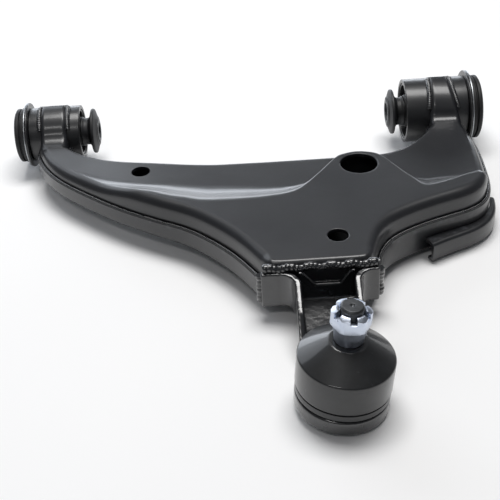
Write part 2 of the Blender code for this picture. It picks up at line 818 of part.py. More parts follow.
def dust_boot():
    lip_bore = SPIGOT_RADIUS + 0.0004
    clamp_out = BOOT_RADIUS - 0.0004
    clamp_in = clamp_out - 0.001
    lip_top = BOOT_BASE + CLAMP_HEIGHT
    collar = SHOULDER_RADIUS + 0.0004
    ring_in = SHOULDER_RADIUS + 0.0006
    ring_out = ring_in + 0.0018
    ring_top = BOOT_TOP - 0.0013
    ring_base = ring_top - 0.0036
    joint_piece(
        "dust_boot",
        [
            (collar, BOOT_TOP),
            (collar + 0.0034, BOOT_TOP - 0.0005),
            (BOOT_RADIUS - 0.0012, BOOT_RIM + 0.0007),
            (BOOT_RADIUS, BOOT_RIM - 0.0007),
            (BOOT_RADIUS, lip_top + GAP),
            (clamp_in - GAP, lip_top + 0.0001),
            (clamp_in - GAP, BOOT_BASE),
            (lip_bore, BOOT_BASE),
            (lip_bore, lip_top + 0.0006),
            (BOOT_RADIUS - BOOT_WALL, lip_top + 0.0018),
            (BOOT_RADIUS - BOOT_WALL, BOOT_RIM - 0.002),
            (ring_out + 0.0018, ring_base),
            (ring_out + GAP, ring_base),
            (ring_out + GAP, ring_top + GAP),
            (collar, ring_top + GAP),
        ],
        RUBBER,
    )
    joint_piece(
        "boot_clamp_ring",
        ((clamp_in, lip_top), (clamp_out, lip_top), (clamp_out, BOOT_BASE), (clamp_in, BOOT_BASE)),
        PAINT,
    )
    joint_piece(
        "boot_collar_ring",
        ((ring_in, ring_top), (ring_out, ring_top), (ring_out, ring_base), (ring_in, ring_base)),
        STEEL,
        steps=ROUND,
    )


def castle_nut():
    """Slotted hexagon on a tapered seat: turned, then its flats and slots are cut."""
    bore = STUD_RADIUS + GAP
    nut = joint_piece(
        "castle_nut",
        (
            (bore, NUT_TOP),
            (NUT_ACROSS_FLATS / 2 - 0.002, NUT_TOP),
            (NUT_CORNER_RADIUS, NUT_TOP - 0.002),
            (NUT_CORNER_RADIUS, NUT_SHOULDER),
            (NUT_ACROSS_FLATS / 2 - 0.0005, NUT_SHOULDER - 0.0008),
            (NUT_SEAT_RADIUS, NUT_BASE),
            (bore, NUT_BASE),
        ),
        ZINC,
        steps=36,
    )
    for i in range(6):
        flat = block(
            f"nut_flat_{i}",
            (NUT_ACROSS_FLATS / 2, -0.02, NUT_SHOULDER - 0.0008),
            (NUT_ACROSS_FLATS, 0.02, NUT_TOP + 0.01),
            None,
            JOINT_PLACE,
        )
        flat.rotation_euler = (0.0, 0.0, NUT_TURN + math.radians(30 + 60 * i))
        cut(nut, flat)
    for i in range(3):
        slot = block(
            f"nut_slot_{i}",
            (-0.02, -NUT_SLOT_WIDTH / 2, NUT_TOP - NUT_SLOT_DEPTH),
            (0.02, NUT_SLOT_WIDTH / 2, NUT_TOP + 0.01),
            None,
            JOINT_PLACE,
        )
        slot.rotation_euler = (0.0, 0.0, NUT_TURN + math.radians(30 + 60 * i))
        cut(nut, slot)


# Ball joint carrier


def bent_wall(name, side, wing):
    """Plan of one wall: it runs back from the eye, then bends outwards into a wing."""
    face = NOSE_REACH - GAP
    front = face - CARRIER_SHEET
    bend = (NECK_HALF_WIDTH + BEND_RADIUS, front - BEND_RADIUS)
    inner = NECK_HALF_WIDTH - CARRIER_SHEET
    points = [(NECK_HALF_WIDTH, 0.02)]
    points += arc(bend, BEND_RADIUS, 180.0, 90.0, 4)
    points += [(NECK_HALF_WIDTH + wing, front), (NECK_HALF_WIDTH + wing, face)]
    points += arc(bend, BEND_RADIUS + CARRIER_SHEET, 90.0, 180.0, 4)
    points += [(inner, 0.02)]
    return extruded(name, [(side * x, y) for x, y in points], -0.01, 0.06, "Z", None)


def ball_joint_carrier():
    face = NOSE_REACH - GAP
    front = face - CARRIER_SHEET
    clear_of_boot = BOOT_RADIUS + 0.004
    inner = NECK_HALF_WIDTH - CARRIER_SHEET + 0.002
    wall_outline = (
        (0.018, 0.001),
        (0.036, 0.001),
        (front - BEND_RADIUS, WING_FLOOR - 0.002),
        (front, WING_FLOOR),
        (face + 0.001, WING_FLOOR),
        (face + 0.001, WING_HEIGHT),
        (front - 0.006, WING_HEIGHT - 0.002),
        (0.060, 0.028),
        (clear_of_boot + 0.006, 0.0135),
        (clear_of_boot, EYE_HEIGHT - 0.002),
        (0.018, EYE_HEIGHT - 0.002),
    )
    carrier = joint_piece(
        "ball_joint_carrier",
        (
            (HOUSING_RADIUS + GAP, SPIGOT_TOP),
            (SPIGOT_RADIUS, SPIGOT_TOP),
            (SPIGOT_RADIUS, EYE_HEIGHT),
            (EYE_RADIUS - 0.001, EYE_HEIGHT),
            (EYE_RADIUS, EYE_HEIGHT - 0.001),
            (EYE_RADIUS, 0.001),
            (EYE_RADIUS - 0.001, 0.0),
            (HOUSING_RADIUS + GAP, 0.0),
        ),
        PAINT,
    )
    for name, side, wing in (("left_wall", -1, WING_LEFT), ("right_wall", 1, WING_RIGHT)):
        wall = bent_wall(name, side, wing)
        shape = extruded(f"{name}_height", wall_outline, -0.06, 0.06, "X", None)
        combine(wall, shape, "INTERSECT")
        join(carrier, wall)
    web_outline = (
        (0.020, 0.002),
        (front - 0.004, 0.010),
        (face, 0.011),
        (face, 0.020),
        (front, 0.0165),
        (front - 0.003, 0.0155),
        (clear_of_boot + 0.004, 0.0085),
        (0.020, 0.0085),
    )
    join(carrier, extruded("neck_web", web_outline, -inner, inner, "X", None))
    plate_outline = (
        (-inner, 0.012),
        (inner, 0.012),
        (inner, WING_HEIGHT - 0.0005),
        (0.018, WING_HEIGHT - 0.0005),
        (0.010, 0.029),
        (-0.008, 0.029),
        (-0.018, WING_HEIGHT - 0.0005),
        (-inner, WING_HEIGHT - 0.0005),
    )
    join(carrier, extruded("end_plate", plate_outline, front, face, "Y", None))
    bore = cylinder("housing_bore", HOUSING_RADIUS + GAP, -0.01, 0.05, JOINT_PLACE)
    return cut(carrier, bore)


def stand_on_origin():
    """Moves the whole arm so that its box stands on z = 0, with the origin under its middle."""
    graph = bpy.context.evaluated_depsgraph_get()
    corners = []
    for piece in ARM.objects:
        if piece.type == "MESH":
            evaluated = piece.evaluated_get(graph)
            mesh = evaluated.to_mesh()
            corners += [evaluated.matrix_world @ vertex.co for vertex in mesh.vertices]
            evaluated.to_mesh_clear()
    low = np.array(corners).min(axis=0)
    high = np.array(corners).max(axis=0)
    PLACE.location = (-(low[0] + high[0]) / 2, -(low[1] + high[1]) / 2, -low[2])


def shade(piece):
    piece.data.shade_smooth()
    piece.data.set_sharp_from_angle(angle=math.radians(35))


upper_shell()
lower_shell()
side_bracket()
bush(
    "rear",
    -1,
    REAR_TUBE_RADIUS,
    REAR_TUBE_LENGTH,
    REAR_BUMPER_RADIUS,
    REAR_STOPPER_RADIUS,
    REAR_NECK_RADIUS,
    REAR_BORE_RADIUS,
)
bush(
    "front",
    1,
    FRONT_TUBE_RADIUS,
    FRONT_TUBE_LENGTH,
    FRONT_BUMPER_RADIUS,
    FRONT_STOPPER_RADIUS,
    FRONT_NECK_RADIUS,
    FRONT_BORE_RADIUS,
)
ball_joint()
ball_joint_carrier()
for finished in ARM.objects:
    if finished.type == "MESH":
        shade(finished)
stand_on_origin()
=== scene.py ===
"""Looks of a lower control arm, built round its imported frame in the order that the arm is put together."""

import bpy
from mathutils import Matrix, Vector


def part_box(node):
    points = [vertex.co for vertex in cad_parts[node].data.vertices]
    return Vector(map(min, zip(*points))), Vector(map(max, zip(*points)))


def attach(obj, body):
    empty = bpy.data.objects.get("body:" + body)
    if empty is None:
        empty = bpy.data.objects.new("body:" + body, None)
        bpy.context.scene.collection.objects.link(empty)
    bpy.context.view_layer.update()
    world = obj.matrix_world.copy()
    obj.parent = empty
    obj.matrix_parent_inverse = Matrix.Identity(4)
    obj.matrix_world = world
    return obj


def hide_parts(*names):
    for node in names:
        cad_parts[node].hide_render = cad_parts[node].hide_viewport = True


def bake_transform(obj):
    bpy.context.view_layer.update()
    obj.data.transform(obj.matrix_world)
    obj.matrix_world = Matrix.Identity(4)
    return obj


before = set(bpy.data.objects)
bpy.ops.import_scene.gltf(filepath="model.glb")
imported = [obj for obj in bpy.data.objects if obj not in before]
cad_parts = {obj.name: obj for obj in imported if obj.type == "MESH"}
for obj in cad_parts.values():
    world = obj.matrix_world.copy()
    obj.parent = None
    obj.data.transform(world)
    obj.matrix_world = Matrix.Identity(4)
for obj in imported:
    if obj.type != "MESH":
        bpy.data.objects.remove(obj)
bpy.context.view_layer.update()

import math

import bmesh
import bpy
import numpy as np
from mathutils import Matrix

# Datums. The arm is set out from two axes: the ball joint's, leaning in its eye, and the pivot axis
# through both bushes. The frame's round pieces give both.


def middle(node):
    low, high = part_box(node)
    return np.array((low + high) / 2)


CLAMP_ABOVE_BASE = 0.0151
joint_axis = middle("boot_collar_ring") - middle("boot_clamp_ring")
joint_axis /= np.linalg.norm(joint_axis)
joint_base = middle("boot_clamp_ring") - CLAMP_ABOVE_BASE * joint_axis
front_middle = middle("front_bush_tube")
rear_middle = middle("rear_bush_tube")
PIVOT_REACH = front_middle[1] - joint_base[1]
PIVOT_HEIGHT = front_middle[2] - joint_base[2]
FRONT_OFFSET = front_middle[0] - joint_base[0]
REAR_OFFSET = joint_base[0] - rear_middle[0]


def linked(name, data):
    """A new object in the scene."""
    made = bpy.data.objects.new(name, data)
    bpy.context.scene.collection.objects.link(made)
    return made


def from_faces(name, shape, outwards=True):
    """A new object from a bmesh, its faces turned outwards."""
    if outwards:
        bmesh.ops.recalc_face_normals(shape, faces=shape.faces)
    mesh = bpy.data.meshes.new(name)
    shape.to_mesh(mesh)
    shape.free()
    return linked(name, mesh)


def standing(right, up, back, place):
    """Matrix of a light or camera that looks away from back."""
    return Matrix([[right[i], up[i], back[i], place[i]] for i in range(3)] + [[0.0, 0.0, 0.0, 1.0]])


# Studio. A pale floor and four soft lights: one overhead, one high and one low behind for the long
# highlights of the paint, and a small weak one in front.
FLOOR_REACH = 6.0
floor_grid = bmesh.new()
bmesh.ops.create_grid(floor_grid, x_segments=24, y_segments=24, size=FLOOR_REACH)
floor = from_faces("studio_floor", floor_grid, outwards=False)


def soft_light(name, power, width, height, place, aim):
    data = bpy.data.lights.new(name, "AREA")
    data.shape = "RECTANGLE"
    data.size = width
    data.size_y = height
    data.energy = power
    data.color = (0.88, 0.93, 1.0) if "behind" in name else (1.0, 0.99, 0.98)
    back = np.array(place, float) - np.array(aim, float)
    back /= np.linalg.norm(back)
    across = np.cross((0.0, 0.0, 1.0), back)
    across /= np.linalg.norm(across)
    linked(name, data).matrix_world = standing(across, np.cross(back, across), back, place)


soft_light("overhead", 34.0, 1.3, 0.8, (0.1, 0.35, 1.9), (0.0, 0.0, 0.0))
soft_light("behind", 16.5, 2.1, 1.5, (-1.35, 2.1, 1.35), (0.0, 0.1, 0.1))
soft_light("low_behind", 22.0, 3.4, 0.55, (-0.2, 2.0, 0.3), (0.0, 0.1, 0.1))
soft_light("in_front", 3.6, 0.6, 0.16, (-0.4, -1.15, 1.6), (0.0, -0.1, 0.0))
world = bpy.data.worlds.new("studio")
world.use_nodes = True
world.node_tree.nodes["Background"].inputs["Color"].default_value = (0.93, 0.95, 1.0, 1.0)
world.node_tree.nodes["Background"].inputs["Strength"].default_value = 0.12
bpy.context.scene.world = world
bpy.context.scene.view_settings.view_transform = "Standard"

# Camera. It stands before the ball joint and looks down on the arm along the vehicle's cross line, a
# short telephoto turned a little about its own line of sight.
CAMERA_FROM_BASE = (-0.0543, -0.4682, 0.4699)
CAMERA_DOWN = math.radians(36.0)
CAMERA_ROLL = math.radians(3.7)
camera_data = bpy.data.cameras.new("camera")
camera_data.lens = 70.34
camera_data.sensor_width = 36.0
camera_data.clip_start = 0.01
camera = linked("camera", camera_data)
level_right = np.array((1.0, 0.0, 0.0))
level_up = np.array((0.0, math.sin(CAMERA_DOWN), math.cos(CAMERA_DOWN)))
right = math.cos(CAMERA_ROLL) * level_right - math.sin(CAMERA_ROLL) * level_up
up = math.sin(CAMERA_ROLL) * level_right + math.cos(CAMERA_ROLL) * level_up
back = np.array((0.0, -math.cos(CAMERA_DOWN), math.sin(CAMERA_DOWN)))
stand = joint_base + np.array(CAMERA_FROM_BASE)
camera.matrix_world = standing(right, up, back, stand)
bpy.context.scene.camera = camera


# Finishes are node trees. A value's arithmetic adds Math nodes, and Finish.node adds any other node.
class Value:
    """One socket of a finish's tree."""

    def __init__(self, finish, socket):
        self.finish = finish
        self.socket = socket

    def maths(self, operation, first, second):
        return self.finish.node("ShaderNodeMath", {"operation": operation}, {0: first, 1: second})

    def __add__(self, other):
        return self.maths("ADD", self, other)

    __radd__ = __add__

    def __sub__(self, other):
        return self.maths("SUBTRACT", self, other)

    def __rsub__(self, other):
        return self.maths("SUBTRACT", other, self)

    def __mul__(self, other):
        return self.maths("MULTIPLY", self, other)

    __rmul__ = __mul__


class Finish:
    """A material on object coordinates, round one Principled shader."""

    def __init__(self, name, **constants):
        self.material = bpy.data.materials.new(name)
        self.material.use_nodes = True
        self.tree = self.material.node_tree
        self.shader = self.tree.nodes["Principled BSDF"]
        self.place = self.node("ShaderNodeTexCoord", {}, {}, "Object")
        for socket, value in constants.items():
            self.shader.inputs[socket.replace("_", " ")].default_value = value

    def node(self, kind, settings, values, output=0):
        made = self.tree.nodes.new(kind)
        for name, value in settings.items():
            setattr(made, name, value)
        for name, value in values.items():
            self.feed(made.inputs[name], value)
        return Value(self, made.outputs[output])

    def feed(self, socket, value):
        if isinstance(value, Value):
            self.tree.links.new(value.socket, socket)
        elif isinstance(value, tuple) and len(value) == 3 and socket.type == "RGBA":
            socket.default_value = (*value, 1.0)
        else:
            socket.default_value = value

    def wear(self, socket, value):
        self.feed(self.shader.inputs[socket], value)

    def grain(self, per_metre, detail=3.0, roughness=0.5, stretch=None):
        """Noise of that many cells to the metre, from 0 to 1."""
        place = self.place
        if stretch:
            place = self.node("ShaderNodeMapping", {}, {"Vector": place, "Scale": stretch})
        return self.node(
            "ShaderNodeTexNoise",
            {},
            {"Vector": place, "Scale": per_metre, "Detail": detail, "Roughness": roughness},
        )

    def between(self, value, low, high):
        """0 below low and 1 above high."""
        return self.node(
            "ShaderNodeMapRange",
            {"interpolation_type": "SMOOTHSTEP", "clamp": True},
            {"Value": value, "From Min": low, "From Max": high},
        )

    def mix(self, share, first, second):
        return self.node("ShaderNodeMix", {"data_type": "RGBA"}, {0: share, 6: first, 7: second}, 2)

    def edges(self, low, high):
        """1 along outer corners of a finely meshed piece."""
        pointed = self.node("ShaderNodeNewGeometry", {}, {}, "Pointiness")
        return self.between(pointed, low, high)

    def bump(self, height, depth, under=None):
        values = {"Height": height, "Distance": depth, "Strength": 1.0}
        if under:
            values["Normal"] = under
        return self.node("ShaderNodeBump", {}, values)

    def coloured(self, share, dark, pale):
        self.wear("Base Color", self.mix(share, dark, pale))

    def clouded(self, socket, least, extra, per_metre, detail):
        """A socket that rises from least by up to extra, with noise."""
        self.wear(socket, least + extra * self.grain(per_metre, detail))

    def pitted(self, *layers):
        """Bumps one over another, each given as cells to the metre, detail and depth."""
        under = None
        for per_metre, detail, depth in layers:
            under = self.bump(self.grain(per_metre, detail), depth, under)
        self.wear("Normal", under)


paper = Finish("floor_paper", Roughness=0.95)
paper.coloured(paper.grain(3.0), (0.88, 0.885, 0.89), (0.92, 0.92, 0.92))
floor.data.materials.append(paper.material)

# Upper shell. One 3 mm steel pressing from bush to bush: a low shelf along the back, a slope up to the
# plateau, a boss round the large hole, and leg ends curled over the bush tubes. Satin black paint.
NOSE_REACH = 0.096
SHEET = 0.003
TUBE_GAP = 0.0003
SHELF_HEIGHT = 0.038
PLATEAU_HEIGHT = 0.047
SKIRT_ABOVE_FLOOR = 0.009
FRONT_BEND = 0.008
NOSE_BEND = 0.0036
BACK_BEND = 0.0045
SADDLE_BEND = 0.004
REAR_TUBE_RADIUS = 0.0245
FRONT_TUBE_RADIUS = 0.029
FLOOR_ALONG = ((-1.07, 0.0125), (-0.53, 0.0115), (-0.3, 0.009), (0.25, 0.007), (0.45, 0.001), (1.2, 0.004))
REAR_LEG = (0.024, 0.024, 0.0, 0.016)
FRONT_LEG = (0.028, 0.0185, 0.0055, 0.012)
# The arm's plan, station by station from the rear bush round the nose to the front bush. Each pair is
# the back edge and the front edge. Across is a share of that side's bush offset, and along runs from
# 0 at the nose to 1 at the pivot axis.
STATIONS = (
    ((-0.927, 0.837), (-1.047, 0.824)),
    ((-0.878, 0.788), (-1.011, 0.747)),
    ((-0.807, 0.749), (-0.945, 0.661)),
    ((-0.710, 0.718), (-0.829, 0.559)),
    ((-0.594, 0.698), (-0.701, 0.461)),
    ((-0.470, 0.673), (-0.568, 0.380)),
    ((-0.355, 0.657), (-0.461, 0.322)),
    ((-0.248, 0.655), (-0.373, 0.249)),
    ((-0.151, 0.653), (-0.293, 0.163)),
    ((-0.089, 0.653), (-0.235, 0.078)),
    ((-0.066, 0.653), (-0.208, 0.033)),
    ((-0.049, 0.653), (-0.186, 0.008)),
    ((-0.031, 0.653), (-0.151, 0.000)),
    ((-0.009, 0.653), (-0.071, 0.000)),
    ((0.048, 0.653), (0.032, 0.000)),
    ((0.113, 0.653), (0.161, 0.000)),
    ((0.161, 0.653), (0.242, 0.004)),
    ((0.202, 0.653), (0.290, 0.024)),
    ((0.274, 0.653), (0.331, 0.094)),
    ((0.339, 0.653), (0.379, 0.151)),
    ((0.403, 0.653), (0.468, 0.204)),
    ((0.476, 0.655), (0.629, 0.253)),
    ((0.548, 0.661), (0.815, 0.294)),
    ((0.621, 0.673), (1.008, 0.331)),
    ((0.694, 0.694), (1.121, 0.388)),
    ((0.782, 0.735), (1.169, 0.478)),
    ((0.855, 0.780), (1.185, 0.596)),
    ((0.911, 0.829), (1.190, 0.718)),
)
STATION_STEPS = 8

# Where the low shelf along the back ends, and where the raised plateau and its boss round the big hole
# begin. The sheet slopes between the two lines.
SLOPE_FOOT = (
    (-1.162, 0.833),
    (-1.002, 0.702),
    (-0.878, 0.678),
    (-0.754, 0.604),
    (-0.634, 0.563),
    (-0.523, 0.543),
    (-0.408, 0.522),
    (-0.262, 0.502),
    (-0.151, 0.482),
    (-0.027, 0.486),
    (0.097, 0.571),
    (0.185, 0.629),
    (0.331, 0.651),
    (0.476, 0.629),
    (0.573, 0.571),
    (0.685, 0.478),
    (0.855, 0.478),
    (1.016, 0.478),
    (1.145, 0.506),
    (1.331, 0.571),
)
SLOPE_CREST = (
    (-1.162, 0.710),
    (-1.002, 0.588),
    (-0.834, 0.490),
    (-0.621, 0.445),
    (-0.537, 0.404),
    (-0.470, 0.380),
    (-0.404, 0.355),
    (-0.266, 0.351),
    (-0.160, 0.359),
    (-0.062, 0.384),
    (0.016, 0.461),
    (0.177, 0.576),
    (0.242, 0.600),
    (0.331, 0.610),
    (0.419, 0.600),
    (0.484, 0.576),
    (0.565, 0.498),
    (0.653, 0.412),
    (0.710, 0.367),
    (0.847, 0.380),
    (1.024, 0.424),
    (1.169, 0.449),
    (1.331, 0.482),
)


def in_plan(across, along):
    side = REAR_OFFSET if across < 0 else FRONT_OFFSET
    return np.array((across * side, NOSE_REACH + along * (PIVOT_REACH - NOSE_REACH)))


def curved(points, steps):
    """A smooth curve through the points, with that many steps between each two."""
    points = np.asarray(points, float)
    padded = np.vstack((2 * points[0] - points[1], points, 2 * points[-1] - points[-2]))
    share = np.linspace(0.0, 1.0, steps, endpoint=False)[:, None]
    found = []
    for a, b, c, d in zip(padded[:-3], padded[1:-2], padded[2:-1], padded[3:]):
        found.append(
            0.5
            * (
                2 * b
                + (c - a) * share
                + (2 * a - 5 * b + 4 * c - d) * share**2
                + (3 * b - a - 3 * c + d) * share**3
            )
        )
    return np.vstack(found + [points[-1:]])


def beside(points, distance):
    """The curve moved to its right by a distance, with mitred corners."""
    points = np.asarray(points)
    steps = np.diff(points, axis=0)
    steps /= np.linalg.norm(steps, axis=1)[:, None]
    before = np.vstack((steps[:1], steps))
    after = np.vstack((steps, steps[-1:]))
    aside = np.stack((before[:, 1] + after[:, 1], -before[:, 0] - after[:, 0]), axis=1)
    aside /= np.linalg.norm(aside, axis=1)[:, None]
    cosine = np.maximum(aside[:, 0] * after[:, 1] - aside[:, 1] * after[:, 0], 0.6)
    return points + aside * (distance / cosine)[:, None]


def unfolded(curve, moved):
    """Eases a moved curve wherever a tight corner has made it run backwards."""
    curve = np.asarray(curve)
    moved = moved.copy()
    steps = np.diff(curve, axis=0)
    length = np.linalg.norm(steps, axis=1)
    for _ in range(400):
        forward = np.einsum("ij,ij->i", np.diff(moved, axis=0), steps) / length**2
        tight = np.flatnonzero(forward < 0.22)
        if not tight.size:
            break
        near = np.unique(np.clip(np.concatenate([tight + k for k in (-1, 0, 1, 2)]), 1, len(curve) - 2))
        moved[near] = 0.25 * moved[near - 1] + 0.5 * moved[near] + 0.25 * moved[near + 1]
    return moved


def beyond(line, points):
    """Signed distance from a line across the plan: positive on its nose side."""
    line = curved([in_plan(*at) for at in line], 3)
    best = np.full(len(points), np.inf)
    signed = np.zeros(len(points))
    for start, end in zip(line[:-1], line[1:]):
        run = end - start
        share = np.clip(((points - start) @ run) / (run @ run), 0.0, 1.0)
        away = points - start - share[:, None] * run
        distance = np.linalg.norm(away, axis=1)
        nearer = distance < best - 1e-9
        best = np.where(nearer, distance, best)
        side = away[:, 0] * run[1] - away[:, 1] * run[0]
        signed = np.where(nearer, np.copysign(distance, side), signed)
    return signed


def slope_share(points):
    """0 on the low shelf and 1 on the raised plateau, for each (x, y)."""
    past_foot = np.maximum(beyond(SLOPE_FOOT, points), 0.0)
    short_of_crest = np.maximum(-beyond(SLOPE_CREST, points), 0.0)
    return past_foot / np.maximum(past_foot + short_of_crest, 1e-6)


def eased(share, foot=0.5, crest=0.22):
    """The slope's rise, with a wide hollow at its foot and a tighter bend at its crest."""
    steep = 1.0 / (1.0 - foot / 2 - crest / 2)
    straight = steep * (share - foot / 2)
    hollow = steep * share**2 / (2 * foot)
    rounded_top = 1.0 - steep * (1.0 - share) ** 2 / (2 * crest)
    return np.where(share < foot, hollow, np.where(share > 1.0 - crest, rounded_top, straight))


def floor_height(points):
    offsets = np.where(points[:, 0] < 0, REAR_OFFSET, FRONT_OFFSET)
    across, heights = zip(*FLOOR_ALONG)
    return np.interp(points[:, 0] / offsets, across, heights)


def leg_end(offset, leg, tube_radius, steps=26):
    """Columns of the sheet where a leg curls over its tube: inner edge, outer edge, height, facing."""
    foot, top, shift, hollow = leg
    radius = tube_radius + TUBE_GAP + SHEET
    lift = SHELF_HEIGHT + hollow - PIVOT_HEIGHT
    starts = math.sqrt((radius + hollow) ** 2 - lift**2)
    meets = math.asin(lift / (radius + hollow))
    path = []
    for turn in np.linspace(math.pi / 2, meets, 9):
        y = PIVOT_REACH - starts + hollow * math.cos(turn)
        z = SHELF_HEIGHT + hollow * (1.0 - math.sin(turn))
        path.append((y, z, turn))
    for turn in np.linspace(meets, math.pi / 2, steps)[1:]:
        y = PIVOT_REACH - radius * math.cos(turn)
        path.append((y, PIVOT_HEIGHT + radius * math.sin(turn), turn))
    side = math.copysign(1.0, offset)
    found = []
    for y, z, turn in path:
        rise = min(max((z - SHELF_HEIGHT) / (PIVOT_HEIGHT + radius - SHELF_HEIGHT), 0.0), 1.0)
        half = (foot + (top - foot) * rise) / 2
        centre = abs(offset) + shift * (1.0 - 0.35 * rise)
        found.append((side * (centre - half), side * (centre + half), y, z, -math.cos(turn), math.sin(turn)))
    return np.array(found)


def running_mean(values, reach):
    padded = np.concatenate((np.full(reach, values[0]), values, np.full(reach, values[-1])))
    return np.convolve(padded, np.ones(2 * reach + 1) / (2 * reach + 1), "valid")


def pressing(name, outside, inside):
    """A closed sheet between its outer and inner rows of points, set down on the datums."""
    outer = np.array(outside) + joint_base
    inner = np.array(inside) + joint_base
    rows, columns = outer.shape[:2]
    number = np.arange(rows * columns).reshape(rows, columns)
    a, b, c, d = number[:-1, :-1], number[1:, :-1], number[1:, 1:], number[:-1, 1:]
    top = np.stack((a, b, c, d), axis=-1).reshape(-1, 4)
    rim = np.concatenate((number[:, 0], number[-1, 1:], number[::-1, -1][1:], number[0, ::-1][1:]))
    under = top[:, ::-1] + rows * columns
    walls = np.stack((rim[1:], rim[:-1], rim[:-1] + rows * columns, rim[1:] + rows * columns), axis=1)
    mesh = bpy.data.meshes.new(name)
    points = np.concatenate((outer.reshape(-1, 3), inner.reshape(-1, 3)))
    mesh.from_pydata(points.tolist(), [], np.concatenate((top, under, walls)).tolist())
    return linked(name, mesh)


def lifted(points, heights):
    return np.column_stack((points, np.broadcast_to(heights, len(points))))


def taken_from(piece, *cutters, operation="DIFFERENCE"):
    """The piece less its cutters, or what it shares with them."""
    for cutter in cutters:
        step = piece.modifiers.new("cut", "BOOLEAN")
        step.object = cutter
        step.operation = operation
        step.solver = "EXACT"
    return piece


def made_solid(piece, smooth_to=35.0):
    """Puts the piece's modifiers into its mesh, and shades it with crisp corners."""
    graph = bpy.context.evaluated_depsgraph_get()
    mesh = bpy.data.meshes.new_from_object(piece.evaluated_get(graph))
    piece.modifiers.clear()
    piece.data = mesh
    mesh.name = piece.name
    mesh.shade_smooth()
    mesh.set_sharp_from_angle(angle=math.radians(smooth_to))
    return piece


def rounded(profile, radius, closed=True, bends=4):
    """The profile with each corner turned into a small arc."""
    points = [np.array(point, float) for point in profile]
    count = len(points)
    found = []
    for i, corner in enumerate(points):
        if not closed and i in (0, count - 1):
            found.append(tuple(corner))
            continue
        before = points[i - 1] - corner
        after = points[(i + 1) % count] - corner
        reach = min(radius, 0.45 * np.linalg.norm(before), 0.45 * np.linalg.norm(after))
        start = corner + before / np.linalg.norm(before) * reach
        end = corner + after / np.linalg.norm(after) * reach
        for share in np.linspace(0.0, 1.0, bends + 1):
            found.append(tuple((1 - share) ** 2 * start + 2 * share * (1 - share) * corner + share**2 * end))
    return found


def walled(inner, outer, low, high):
    """Profile of a plain ring."""
    return ((inner, high), (outer, high), (outer, low), (inner, low))


def turned(name, profile, foot, axis, steps=128, closed=True, bend=0.0004, bends=4):
    """A profile of (radius, height) points turned about an axis that starts at foot."""
    if bend:
        profile = rounded(profile, bend, closed, bends)
    axis = np.asarray(axis, float)
    across = np.cross(axis, (0.0, 1.0, 0.0)) if abs(axis[1]) < 0.9 else np.cross(axis, (1.0, 0.0, 0.0))
    across /= np.linalg.norm(across)
    other = np.cross(axis, across)
    shape = bmesh.new()
    rings = []
    for radius, height in profile:
        centre = np.asarray(foot) + axis * height
        if radius < 1e-7:
            rings.append([shape.verts.new(centre)] * steps)
            continue
        turns = [2 * math.pi * i / steps for i in range(steps)]
        rings.append(
            [shape.verts.new(centre + radius * (math.cos(t) * across + math.sin(t) * other)) for t in turns]
        )
    pairs = list(zip(rings[:-1], rings[1:])) + ([(rings[-1], rings[0])] if closed else [])
    for low, high in pairs:
        for i in range(steps):
            corners = [low[i], low[(i + 1) % steps], high[(i + 1) % steps], high[i]]
            corners = list(dict.fromkeys(corners))
            if len(corners) > 2:
                shape.faces.new(corners)
    made = from_faces(name, shape)
    made.data.shade_smooth()
    made.data.set_sharp_from_angle(angle=math.radians(40.0))
    return made


def fitted(piece, finish, body, slot, *nodes):
    """Gives a finished piece its material, its body and the frame nodes that it stands for."""
    piece.data.materials.clear()
    piece.data.materials.append(finish.material)
    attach(piece, body)
    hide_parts(*nodes)
    return piece


rear_end = leg_end(-REAR_OFFSET, REAR_LEG, REAR_TUBE_RADIUS)[::-1]
front_end = leg_end(FRONT_OFFSET, FRONT_LEG, FRONT_TUBE_RADIUS)
station_back = [in_plan(*back_edge) for back_edge, _ in STATIONS]
station_edge = [in_plan(*front_edge) for _, front_edge in STATIONS]


EDGE_PASSES = 12
BEND_TURNS = np.radians(np.linspace(0.0, 90.0, 9))


def whole_edge(stations, column):
    """One edge of the arm from end to end: the rear leg end, the stations and the front leg end."""
    rear = rear_end[:, [column, 2]]
    front = front_end[:, [column, 2]]
    whole = np.vstack((rear, curved([rear[-1]] + stations + [front[0]], STATION_STEPS)[1:-1], front))
    for _ in range(EDGE_PASSES):
        smoothed = 0.25 * whole[:-2] + 0.5 * whole[1:-1] + 0.25 * whole[2:]
        whole[len(rear) : -len(front)] = smoothed[len(rear) - 1 : 1 - len(front)]
    return whole


shell_back = whole_edge(station_back, 0)
shell_edge = whole_edge(station_edge, 1)
columns = len(shell_back)
over_tube = np.zeros(columns, bool)
over_tube[: len(rear_end)] = True
over_tube[-len(front_end) :] = True
tube_height = np.zeros(columns)
tube_height[: len(rear_end)] = rear_end[:, 3]
tube_height[-len(front_end) :] = front_end[:, 3]
facing = np.tile((0.0, 1.0), (columns, 1))
facing[: len(rear_end)] = rear_end[:, 4:]
facing[-len(front_end) :] = front_end[:, 4:]


def top_surface(points):
    rise = eased(slope_share(points)) * (PLATEAU_HEIGHT - SHELF_HEIGHT)
    return np.where(over_tube, tube_height, SHELF_HEIGHT + rise)


